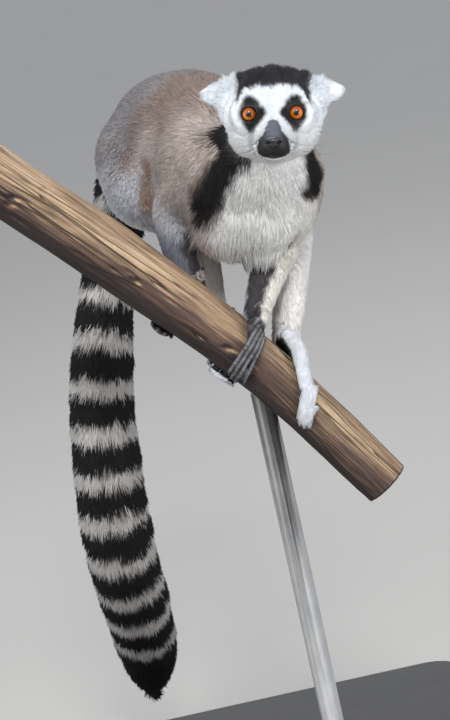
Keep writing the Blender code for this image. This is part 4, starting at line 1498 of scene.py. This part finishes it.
def skin_finish():
    """Short close hair over the body, and finely pebbled dark skin where it is bare."""
    finish = Finish("skin and close hair", Specular_IOR_Level=0.25)
    place = finish.place()
    bareness = finish.attribute("bare")
    hair = finish.noise(place, 0.0011, 3.0)
    pebbles = finish.cells(place, 0.0011)
    patches = finish.noise(place, 0.006, 2.0)
    shade = finish.ramp(hair * 0.6 + patches * 0.4, (0.3, (0.62,) * 3), (0.7, (1.0,) * 3))
    finish.put(Base_Color=finish.mix(0.8, finish.attribute("markings", "Color"), shade, "MULTIPLY"))
    finish.put(Roughness=0.78 - bareness * 0.26 + patches * 0.08)
    finish.bump(hair * (1 - bareness) + pebbles * bareness * 0.5, 0.0004, 0.55)
    return finish


GAZE_WIDTH = 20  # the flat map over each eye is this wide (mm)


def eye_finish(settings):
    """Amber iris with fine spokes, a dark rim and a small round pupil under a clear cornea, with painted
    shade from the upper lid over the iris's top.
    """
    finish = Finish("amber eye", Roughness=0.5, Specular_IOR_Level=0.05)
    finish.put(Coat_Weight=1.0, Coat_Roughness=0.02, Coat_IOR=1.5)
    gaze = finish.node("ShaderNodeUVMap", {"uv_map": "gaze"})
    parts = finish.node("ShaderNodeSeparateXYZ", None, {0: gaze})
    across, up = ((Wire(finish, parts.socket.node.outputs[k]) - 0.5) * GAZE_WIDTH for k in (0, 1))
    reach = (across * across + up * up) ** 0.5
    turn = across.maths("ARCTAN2", up, across)
    spokes = finish.node("ShaderNodeCombineXYZ", None, {0: turn * 5.5, 1: reach * 0.35, 2: 0.3})
    fibre = finish.node("ShaderNodeTexNoise", None, {"Vector": spokes, "Scale": 3.0, "Detail": 4.0})
    edge = settings.iris_size / 2 / MM
    pupil = settings.pupil_size / 2 / MM
    share = (reach - pupil) / (edge - pupil)
    amber = tuple(settings.iris_colour)
    deep = tuple(c * k for c, k in zip(amber, (0.50, 0.36, 0.30)))
    bright = tuple(min(1, c * k) for c, k in zip(amber, (1.25, 1.40, 1.5)))
    share = share + (fibre - 0.5) * 0.8
    iris = finish.ramp(share, (0.0, deep), (0.22, amber), (0.58, bright), (0.92, deep))
    # Painted shade: the top of the iris is darker, as under the upper lid
    iris = finish.mix(finish.step(up, -1.5, 4.5) * 0.75, iris, deep)
    colour = finish.mix(finish.step(reach, edge - 0.7, edge + 0.15), iris, (0.016, 0.009, 0.006))
    colour = finish.mix(finish.step(reach, pupil - 0.12, pupil + 0.16), (0.002, 0.002, 0.002), colour)
    finish.put(Base_Color=colour)
    return finish


def nose_finish():
    """Dark moist skin with fine pebbles."""
    finish = Finish("moist nose skin", Coat_Weight=0.8, Coat_Roughness=0.1, Specular_IOR_Level=0.2)
    place = finish.place()
    pebbles = finish.cells(place, 0.0008)
    wear = finish.noise(place, 0.003, 2.0)
    finish.put(Base_Color=finish.ramp(wear, (0.3, (0.004, 0.004, 0.005)), (0.7, (0.010, 0.010, 0.012))))
    finish.put(Roughness=0.26 + wear * 0.14)
    finish.bump(pebbles, 0.00035, 0.5)
    return finish


def nail_finish():
    """Dark horn with fine lines."""
    finish = Finish("dark nail", Coat_Weight=0.2, Coat_Roughness=0.2)
    lines = finish.noise(finish.place(), 0.0009, 2.0)
    finish.put(Base_Color=finish.ramp(lines, (0.3, (0.022, 0.020, 0.022)), (0.7, (0.060, 0.055, 0.055))))
    finish.put(Roughness=0.32 + lines * 0.2)
    finish.bump(lines, 0.0002, 0.4)
    return finish


def whisker_finish():
    """Dark stiff hair."""
    finish = Finish("whisker", Roughness=0.45)
    tone = finish.noise(finish.place(), 0.01)
    finish.put(Base_Color=finish.ramp(tone, (0.3, (0.02,) * 3), (0.7, (0.05,) * 3)))
    return finish


def wood_finish():
    """Weathered branch with streaks and fine cracks along it: pale on top and dark under, partly its own
    darker underside and partly painted light and painted shade.
    """
    finish = Finish("dry weathered wood", Specular_IOR_Level=0.3)
    grain = finish.attribute("grain", "Vector")
    facing = finish.attribute("daylight")
    along = finish.scaled(grain, (1, 1, 0.05))
    streaks = finish.noise(along, 0.0022, 5.0, 0.62)
    broad = finish.noise(finish.scaled(grain, (1, 1, 0.16)), 0.017, 3.0)
    cracks = finish.cells(finish.scaled(grain, (1, 1, 0.035)), 0.0055, "DISTANCE_TO_EDGE")
    crack = (1 - finish.step(cracks, 0.0, 0.075)) * finish.step(broad, 0.42, 0.62)
    # Painted light and shade: paler where the wood faces up towards the lamps, darker underneath, partly the
    # wood's own darker underside
    light = facing * 1.25 - 0.2 + (broad - 0.5) * 0.55 + (streaks - 0.5) * 0.35
    colour = finish.ramp(
        light,
        (0.42, (0.026, 0.017, 0.017)),
        (0.64, (0.105, 0.066, 0.048)),
        (0.80, (0.36, 0.255, 0.16)),
        (0.97, (0.52, 0.41, 0.29)),
    )
    fibres = finish.ramp(streaks, (0.32, (0.55, 0.5, 0.45)), (0.6, (1.0, 1.0, 1.0)))
    colour = finish.mix(0.55, colour, fibres, "MULTIPLY")
    colour = finish.mix(crack * 0.85, colour, (0.018, 0.011, 0.008))
    finish.put(Base_Color=colour, Roughness=0.68 + streaks * 0.2)
    finish.bump(streaks * 0.6 + broad * 0.6 - crack * 0.9, 0.0015, 0.85)
    return finish


def rod_finish():
    """Brushed steel, turned round the rod."""
    finish = Finish("brushed steel rod", Metallic=1.0)
    place = finish.place()
    lines = finish.noise(finish.scaled(place, (0.1, 0.1, 3.0)), 0.0012, 3.0)
    cloud = finish.noise(place, 0.03, 3.0)
    finish.put(Base_Color=finish.ramp(cloud, (0.3, (0.50, 0.50, 0.50)), (0.7, (0.62, 0.615, 0.605))))
    finish.put(Roughness=0.24 + lines * 0.16 + cloud * 0.06)
    finish.bump(lines, 0.00008, 0.35)
    return finish


def board_finish():
    """Satin black lacquer over wood whose grain just shows."""
    finish = Finish("black lacquered board", Coat_Weight=0.25, Coat_Roughness=0.25)
    place = finish.place()
    grain = finish.noise(finish.scaled(place, (0.06, 1, 1)), 0.0035, 4.0)
    cloud = finish.noise(place, 0.05, 3.0)
    finish.put(Base_Color=finish.ramp(grain, (0.3, (0.011, 0.010, 0.010)), (0.7, (0.024, 0.022, 0.021))))
    finish.put(Roughness=0.34 + cloud * 0.14)
    finish.bump(grain, 0.00015, 0.35)
    return finish


def floor_finish(settings):
    """Matt floor with faint clouds."""
    finish = Finish("pale studio floor", Specular_IOR_Level=0.2)
    tone = tuple(settings.floor_colour)
    cloud = finish.noise(finish.place(), 0.4, 3.0)
    low = tuple(c * 0.975 for c in tone)
    finish.put(Base_Color=finish.ramp(cloud, (0.3, low), (0.7, tone)), Roughness=0.85)
    return finish


# --- eyes, nose, whiskers and nails ------------------------------------------------------------------


def eyeball(side):
    """One eye: a fine ball that swells into its cornea, with the flat map that its iris needs."""
    centre = np.array([SIDES[side] * HEAD.eye_spread, -EYE_SET, 0])
    bpy.ops.object.select_all(action="DESELECT")
    bpy.ops.mesh.primitive_uv_sphere_add(segments=96, ring_count=64, radius=1.0)
    obj = bpy.context.object
    obj.name = obj.data.name = f"eyeball_{side}"
    mesh = obj.data
    away = points_of(mesh)[:, [0, 2, 1]]
    reach = np.hypot(away[:, 0], away[:, 2]) * EYE_RADIUS
    swell = np.where(away[:, 1] > 0, 0.62 * np.clip(1 - (reach / 5.6) ** 2, 0, 1) ** 1.5, 0)
    sizes = away * (EYE_RADIUS + swell)[:, None]
    put_points(mesh, HEAD.place(0, 0, 0) + (centre + sizes) @ HEAD.axes * MM)
    faced_out(obj)
    while mesh.uv_layers:
        mesh.uv_layers.remove(mesh.uv_layers[0])
    layer = mesh.uv_layers.new(name="gaze")
    corners = read(mesh.loops, "vertex_index", 1, np.int32)
    places = sizes[corners][:, [0, 2]] / GAZE_WIDTH + 0.5
    layer.uv.foreach_set("vector", places.astype(np.float32).ravel())
    mesh.shade_smooth()
    return obj


NOSE_RADII = (6.6, 5.2, 4.3)
NOSTRIL = (3.6, -0.6, 1.5)  # across, up and reach (mm)
# Its depth (mm) and its share of that reach at steps outwards
NOSTRIL_STEPS = ((2.1, 1.0), (1.5, 0.8), (1.0, 0.6), (0.8, 0.5), (0.6, 0.45))


def nose_pad():
    """The bare end of the nose: broad above, with comma-shaped nostrils and a groove below."""
    obj = ball((0, 0, 0), (1 / MM,) * 3, segments=96)
    obj.name = obj.data.name = "nose_pad"
    unit_points = points_of(obj.data)[:, [0, 2, 1]]
    _, ahead, z = unit_points.T
    sizes = unit_points * NOSE_RADII
    sizes[:, 0] *= 1 + 0.16 * z - 0.18 * ramp(-z, 0.2, 1.0)
    sizes[:, 1] += 0.9 * ramp(z, -0.6, 0.7) * ramp(ahead, 0, 0.8)
    across, up, reach = NOSTRIL
    for step, (depth, share) in enumerate(NOSTRIL_STEPS):
        spot = (across + 0.75 * step, up - 0.10 * step + 0.18 * step**2)
        gap = np.hypot(np.abs(sizes[:, 0]) - spot[0], (sizes[:, 2] - spot[1]) * 1.25)
        sizes[:, 1] -= depth * np.exp(-((gap / (reach * share)) ** 2)) * ramp(ahead, 0, 0.4)
    groove_share = np.exp(-((sizes[:, 0] / 0.55) ** 2)) * ramp(ahead, 0.2, 0.6)
    sizes[:, 1] -= 0.8 * groove_share * ramp(-sizes[:, 2], -1.5, 1.5)
    put_points(obj.data, HEAD.place(0, NOSE_AHEAD - 1.4, -NOSE_BELOW - 2.4) + sizes @ HEAD.axes * MM)
    faced_out(obj)
    obj.data.shade_smooth()
    return obj


def hair_strands(name, starts, ends, droop, radius, steps=8):
    """Thin tapered hairs with three sides, bent down between their ends."""
    shares = np.linspace(0, 1, steps)
    sides = tube_faces(steps - 1, 3)
    points, faces = [], []
    for start, end in zip(starts, ends):
        along = unit(end - start)
        side = unit(np.cross(along, (0.1, 0.2, 1)))
        up = np.cross(side, along)
        line = start + (end - start) * shares[:, None]
        line = line + droop * (np.sin(shares * math.pi) * 0.5 - shares**2)[:, None]
        base = len(points)
        for spot, share in zip(line[:-1], shares):
            thick = radius * (1 - share * 0.85)
            for turn in (0, 120, 240):
                angle = math.radians(turn)
                points.append(spot + (side * math.cos(angle) + up * math.sin(angle)) * thick)
        points.append(line[-1])
        tip = len(points) - 1
        faces += [tuple(base + corner for corner in face) for face in sides]
        faces += [(tip - 3 + k, tip - 3 + (k + 1) % 3, tip) for k in range(3)]
        faces.append((base + 2, base + 1, base))
    obj = mesh_object(name, np.array(points).tolist(), faces)
    faced_out(obj)
    obj.data.shade_smooth()
    return obj


def whiskers():
    """Dark whiskers from the pads beside the nose, and a few over the eyes."""
    rng = np.random.default_rng(12)
    tree = tree_of(bpy.data.objects["skin"])
    starts, ends = [], []

    def add(root, way, reach):
        spot = np.array(tree.find_nearest(Vector(HEAD.place(*root)))[0])
        starts.append(spot)
        ends.append(spot + unit(np.array(way)) @ HEAD.axes * reach * MM)

    for side in (-1, 1):
        for row in range(3):
            for k in range(4):
                root = (side * (7.5 + 1.6 * k), 31 - 4.0 * k, -21.5 - 2.6 * row)
                way = (side * (0.80 + 0.05 * k), 0.35 - 0.18 * k, -0.12 - 0.16 * row)
                add(root, way, (17 + 6 * k) * (0.85 + 0.3 * rng.random()))
        for k in range(3):
            root = (side * (14 + 4 * k), 0, 12.5)
            add(root, (side * (0.2 + 0.25 * k), 0.45, 0.75), 9 + 3 * rng.random())
    return hair_strands("whiskers", starts, ends, np.array([0, 0, -0.004]), 0.09 * MM)


def nail(end, before, out, radius):
    """A short arched nail on the back of a digit's end."""
    along = unit(end - before)
    out = unit(out - along * (out @ along))
    side = np.cross(along, out)
    rows = []
    for t in np.linspace(0, 1, 7):
        wide = radius * 0.62 * math.sqrt(max(0.02, 1 - (2 * abs(t - 0.42)) ** 2.6))
        spot = end + along * (t - 0.62) * radius * 2.2 + out * radius * (0.74 - 0.30 * t**2)
        rows.append((*spot, wide, radius * 0.20))
    return loft(rows, 10, side)


def nails(name):
    """The nails of one hand or foot, joined."""
    made = []
    for start, end, lift, radius in GRIPS[name][1]:
        rows = digit_rows(start, end, lift, radius)
        last, before = np.array(rows[-1][:3]), np.array(rows[-3][:3])
        axis = PERCH.points[PERCH.nearest(last[None])[0], :3]
        made.append(nail(last, before, last - axis, radius))
    obj = joined(made)
    obj.name = obj.data.name = f"nails_{name}"
    obj.data.shade_smooth()
    return obj


# --- perch and stand ---------------------------------------------------------------------------------

PERCH_STEPS = 300
PERCH_SIDES = 112
PERCH_RAYS = 0.08  # how far out the rays that find its outline start (m)
# The rings on its sawn ends: their share of its outline and how far they stand out (m)
SAWN_RINGS = ((0.96, 0.0004), (0.75, 0.0006), (0.5, 0.0006), (0.25, 0.0006))
SAWN_BULGE = 0.0006


def evened(values, axis, edge):
    """Values averaged over five neighbours along an axis."""

    def average(row):
        return np.convolve(np.pad(row, 2, mode=edge), np.ones(5) / 5, "valid")

    return np.apply_along_axis(average, axis, values)


def outline_reach(centres, ways):
    """How far in metres the perch's solid reaches from its centre line, evened out."""
    tree = tree_of(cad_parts["perch"])
    reach = np.empty(ways.shape[:2])
    for ring, side in np.ndindex(reach.shape):
        way = ways[ring, side]
        hit = tree.ray_cast(Vector(centres[ring] + way * PERCH_RAYS), Vector(-way), PERCH_RAYS)
        reach[ring, side] = PERCH_RAYS - hit[3] if hit[0] is not None else 0.02
    return evened(evened(reach, 1, "wrap"), 0, "edge")


def bark_depth(along, turns):
    """How deep in mm the branch's fibres, hollows and cracks lie below its outline."""
    flat = np.empty((len(along), len(turns), 3))
    flat[..., 0] = np.cos(turns) * 20
    flat[..., 1] = np.sin(turns) * 20
    flat[..., 2] = (along / 9)[:, None]
    flat = flat.reshape(-1, 3)
    fibres = noise(flat, 2.4, 51) + 0.5 * noise(flat, 1.1, 52)
    broad = noise(flat * (1, 1, 2.2), 9, 53)
    crack = ramp(0.10 - np.abs(noise(flat * (1, 1, 0.5), 5.5, 54)), 0, 0.10) * ramp(broad, 0.0, 0.35)
    depth = 0.35 - 0.28 * fibres - 0.45 * broad + 1.7 * crack
    return np.maximum(depth, -0.15).reshape(len(along), len(turns))


def perch_branch():
    """The cut branch: fine rings on the solid's outline, with fibres, shallow cracks and sawn ends."""
    along = PERCH.along[-1] * (0.0015 + 0.997 * np.linspace(0, 1, PERCH_STEPS))
    centres = np.stack([PERCH.at(distance)[:3] for distance in along]) * MM
    axes = unit(np.gradient(centres, axis=0))
    tops = unit(np.array([0, 0, 1]) - axes * axes[:, 2:])
    fronts = np.cross(axes, tops)
    turns = np.arange(PERCH_SIDES) * 2 * math.pi / PERCH_SIDES
    ways = tops[:, None] * np.cos(turns)[:, None] + fronts[:, None] * np.sin(turns)[:, None]
    reach = outline_reach(centres, ways) - bark_depth(along, turns) * MM
    arms = ways * reach[..., None]
    grains = np.empty_like(arms)
    grains[..., 0] = np.cos(turns) * reach
    grains[..., 1] = np.sin(turns) * reach
    grains[..., 2] = along[:, None] * MM

    points = list((centres[:, None] + arms).reshape(-1, 3))
    grain = list(grains.reshape(-1, 3))
    rims = np.arange(PERCH_STEPS * PERCH_SIDES).reshape(PERCH_STEPS, PERCH_SIDES).tolist()
    faces = tube_faces(PERCH_STEPS, PERCH_SIDES)
    for ring, outward in ((0, -axes[0]), (-1, axes[-1])):
        rim = rims[ring]
        for size, bulge in SAWN_RINGS:
            fresh = range(len(points), len(points) + PERCH_SIDES)
            points.extend(centres[ring] + arms[ring] * size + outward * bulge)
            grain.extend(grains[ring] * (size, size, 1))
            faces += ring_faces(rim, fresh)
            rim = fresh
        points.append(centres[ring] + outward * SAWN_BULGE)
        grain.append((0, 0, along[ring] * MM))
        faces += [(a, b, len(points) - 1) for a, b in zip(rim, [*rim[1:], rim[0]])]
    obj = faced_out(mesh_object("perch_branch", np.array(points).tolist(), faces))
    obj.data.shade_smooth()
    # Painted light: how far each point faces up towards the lamps, which the wood's finish turns into pale
    # tops and painted shade underneath
    daylight = np.clip(0.5 + 0.5 * (normals_of(obj.data) @ unit(np.array([-0.15, -0.25, 0.95]))), 0, 1)
    put_attribute(obj.data, "grain", "FLOAT_VECTOR", "vector", grain)
    put_attribute(obj.data, "daylight", "FLOAT", "value", daylight)
    return obj


def smooth_copy(node, name):
    """A merged copy of a turned or planed solid, shaded smooth between its sharp edges."""
    obj = merged_copy(node)
    obj.name = obj.data.name = name
    activate(obj)
    bpy.ops.object.shade_smooth_by_angle(angle=math.radians(35))
    return obj


# --- stage -------------------------------------------------------------------------------------------

CAMERA_PLACE = (0.029, -1.613, 0.833)
CAMERA_RIGHT = (0.9763, -0.0524, -0.2100)
CAMERA_UP = (0.2164, 0.2362, 0.9473)
LENS = 96.65
FLOOR_SIZE = 60
# Each light's name, place, aim, share of the key light's power, size and colour
LIGHTS = (
    ("key light", (-1.3, -1.9, 2.3), middle("chest"), 1.0, 1.6, (1.0, 0.975, 0.94)),
    ("fill light", (1.9, -1.4, 1.0), middle("chest"), 0.6, 1.8, (0.93, 0.96, 1.0)),
    ("side light", (-2.0, -0.7, 0.9), middle("chest"), 0.42, 1.4, (0.93, 0.96, 1.0)),
    ("eye light", (0.20, -1.42, 1.75), HEAD.origin, 0.62, 0.42, (1.0, 0.985, 0.96)),
    ("low light", (0.85, -1.2, 0.46), (0.02, -0.03, 0.52), 0.2, 0.6, (1.0, 0.97, 0.94)),
    ("top light", (0.1, 1.2, 2.4), middle("chest"), 0.5, 1.5, (1.0, 1.0, 1.0)),
)


def add_light(name, place, aim, power, size, colour):
    """A square soft light at a place, turned towards its aim."""
    bpy.ops.object.select_all(action="DESELECT")
    bpy.ops.object.light_add(type="AREA", location=place)
    light = bpy.context.object
    light.name = name
    light.data.energy = power
    light.data.size = size
    light.data.color = colour
    light.rotation_euler = (Vector(aim) - Vector(place)).to_track_quat("-Z", "Y").to_euler()


def add_camera():
    """The camera, from its place and the ways that are right and up for it."""
    bpy.ops.object.camera_add(location=CAMERA_PLACE)
    camera = bpy.context.object
    right, up = Vector(CAMERA_RIGHT).normalized(), Vector(CAMERA_UP)
    back = right.cross(up).normalized()
    up = back.cross(right)
    camera.rotation_euler = Matrix((right, up, back)).transposed().to_euler()
    camera.data.lens = LENS
    camera.data.sensor_width = 36
    camera.data.clip_end = 100
    bpy.context.scene.camera = camera


# --- add-on ------------------------------------------------------------------------------------------


class LemurCoat(bpy.types.PropertyGroup):
    """How thick, long and tufted the coat is."""

    density: FloatProperty(
        name="Density", description="Share of the coat's usual number of tufts",
        default=1.0, min=0.05, max=2.0,
    )
    length: FloatProperty(
        name="Length", description="Share of the hair's usual length",
        default=1.0, min=0.3, max=1.5,
    )
    locks: FloatProperty(
        name="Locks", description="How strongly the hair gathers in locks",
        default=0.5, min=0.0, max=1.0,
    )
    seed: IntProperty(name="Seed", description="Which random coat is grown", default=7, min=0)


class LemurEyes(bpy.types.PropertyGroup):
    """Size and colour of the iris."""

    iris_size: FloatProperty(name="Iris", description="Width of the iris", default=0.0104, unit="LENGTH")
    pupil_size: FloatProperty(name="Pupil", description="Width of the pupil", default=0.0041, unit="LENGTH")
    iris_colour: FloatVectorProperty(
        name="Iris colour", description="Colour of the middle of the iris",
        default=(0.40, 0.10, 0.007), subtype="COLOR", size=3, min=0, max=1,
    )


class LemurStage(bpy.types.PropertyGroup):
    """The plain studio round the model."""

    floor_colour: FloatVectorProperty(
        name="Floor", description="Colour of the floor",
        default=(0.47, 0.46, 0.445), subtype="COLOR", size=3, min=0, max=1,
    )
    key_power: FloatProperty(
        name="Key light", description="Power of the large front light",
        default=28.0, unit="POWER",
    )
    sky: FloatProperty(
        name="Sky", description="Brightness of the even light all round",
        default=0.72, min=0,
    )


class LemurSettings(bpy.types.PropertyGroup):
    """All that a user may change."""

    coat: PointerProperty(type=LemurCoat)
    eyes: PointerProperty(type=LemurEyes)
    stage: PointerProperty(type=LemurStage)


class LEMUR_OT_stage(bpy.types.Operator):
    """Camera, pale floor and soft light"""

    bl_idname = "lemur.stage"
    bl_label = "Stage"

    def execute(self, context):
        settings = context.scene.lemur.stage
        add_camera()
        bpy.ops.object.select_all(action="DESELECT")
        bpy.ops.mesh.primitive_plane_add(size=FLOOR_SIZE)
        floor = context.object
        floor.name = floor.data.name = "studio_floor"
        floor_finish(settings).give(floor)
        for name, place, aim, share, size, colour in LIGHTS:
            add_light(name, place, aim, settings.key_power * share, size, colour)
        world = bpy.data.worlds.new("soft studio")
        context.scene.world = world
        world.use_nodes = True
        background = world.node_tree.nodes["Background"]
        background.inputs["Color"].default_value = (0.92, 0.95, 1.0, 1)
        background.inputs["Strength"].default_value = settings.sky
        context.scene.view_settings.view_transform = "Standard"
        return {"FINISHED"}


class LEMUR_OT_skin(bpy.types.Operator):
    """One skin under the whole coat, with its face, ears, hands and feet"""

    bl_idname = "lemur.skin"
    bl_label = "Skin"

    def execute(self, context):
        nodes = Nodes()
        outside = envelope()
        skin = build_skin(nodes)
        clothe_skin(skin, outside, nodes)
        bpy.data.objects.remove(outside, do_unlink=True)
        skin_finish().give(skin)
        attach(skin, "root")
        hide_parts(*FLESH)
        return {"FINISHED"}


class LEMUR_OT_coat(bpy.types.Operator):
    """The coat in solid tufts, one piece for each part of the body"""

    bl_idname = "lemur.coat"
    bl_label = "Coat"

    def execute(self, context):
        settings = context.scene.lemur.coat
        skin = Skin()
        finish = coat_finish()
        outside = envelope()
        outline = tree_of(outside)
        bpy.data.objects.remove(outside, do_unlink=True)
        for number, (piece, (slot, names)) in enumerate(COAT_PIECES.items()):
            finish.give(grow(piece, names, skin, outline, settings, settings.seed + number))
        return {"FINISHED"}


class LEMUR_OT_eyes(bpy.types.Operator):
    """Both eyes with their irises"""

    bl_idname = "lemur.eyes"
    bl_label = "Eyes"

    def execute(self, context):
        finish = eye_finish(context.scene.lemur.eyes)
        for side in SIDES:
            eye = eyeball(side)
            finish.give(eye)
            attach(eye, "root")
            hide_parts(f"eye_{side}")
        return {"FINISHED"}


class LEMUR_OT_nose(bpy.types.Operator):
    """The bare nose pad"""

    bl_idname = "lemur.nose"
    bl_label = "Nose"

    def execute(self, context):
        nose = nose_pad()
        nose_finish().give(nose)
        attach(nose, "root")
        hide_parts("nose")
        return {"FINISHED"}


class LEMUR_OT_whiskers(bpy.types.Operator):
    """Whiskers beside the nose and over the eyes"""

    bl_idname = "lemur.whiskers"
    bl_label = "Whiskers"

    def execute(self, context):
        hairs = whiskers()
        whisker_finish().give(hairs)
        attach(hairs, "root")
        return {"FINISHED"}


class LEMUR_OT_nails(bpy.types.Operator):
    """Nails on the fingers and toes"""

    bl_idname = "lemur.nails"
    bl_label = "Nails"

    def execute(self, context):
        finish = nail_finish()
        for name in ENDS:
            made = nails(name)
            finish.give(made)
            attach(made, "root")
        return {"FINISHED"}


class LEMUR_OT_perch(bpy.types.Operator):
    """The short length of branch that the animal holds"""

    bl_idname = "lemur.perch"
    bl_label = "Perch"

    def execute(self, context):
        branch = perch_branch()
        wood_finish().give(branch)
        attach(branch, "root")
        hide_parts("perch")
        return {"FINISHED"}


class LEMUR_OT_stand(bpy.types.Operator):
    """The display stand's board and rod"""

    bl_idname = "lemur.stand"
    bl_label = "Stand"

    def execute(self, context):
        for node, name, finish, slot in (
            ("stand_rod", "stand_steel_rod", rod_finish(), "steel_rod"),
            ("stand_base", "stand_board", board_finish(), "black_board"),
        ):
            piece = smooth_copy(node, name)
            finish.give(piece)
            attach(piece, "root")
            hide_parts(node)
        return {"FINISHED"}


STEPS = (
    LEMUR_OT_stage, LEMUR_OT_perch, LEMUR_OT_stand, LEMUR_OT_skin, LEMUR_OT_eyes, LEMUR_OT_nose,
    LEMUR_OT_whiskers, LEMUR_OT_nails, LEMUR_OT_coat,
)


class LEMUR_PT_panel(bpy.types.Panel):
    """Lists the pieces in the sidebar"""

    bl_idname = "LEMUR_PT_panel"
    bl_label = "Ring-tailed lemur"
    bl_space_type = "VIEW_3D"
    bl_region_type = "UI"
    bl_category = "Lemur"

    def draw(self, context):
        settings = context.scene.lemur
        for group in (settings.coat, settings.eyes, settings.stage):
            box = self.layout.box()
            for name in group.__annotations__:
                box.prop(group, name)
        for step in STEPS:
            self.layout.operator(step.bl_idname)


CLASSES = (LemurCoat, LemurEyes, LemurStage, LemurSettings, *STEPS, LEMUR_PT_panel)


def register():
    for cls in CLASSES:
        bpy.utils.register_class(cls)
    bpy.types.Scene.lemur = PointerProperty(type=LemurSettings)


def unregister():
    del bpy.types.Scene.lemur
    for cls in reversed(CLASSES):
        bpy.utils.unregister_class(cls)


def main():
    register()
    for step in STEPS:
        group, name = step.bl_idname.split(".")
        getattr(getattr(bpy.ops, group), name)()


if __name__ == "__main__":
    main()
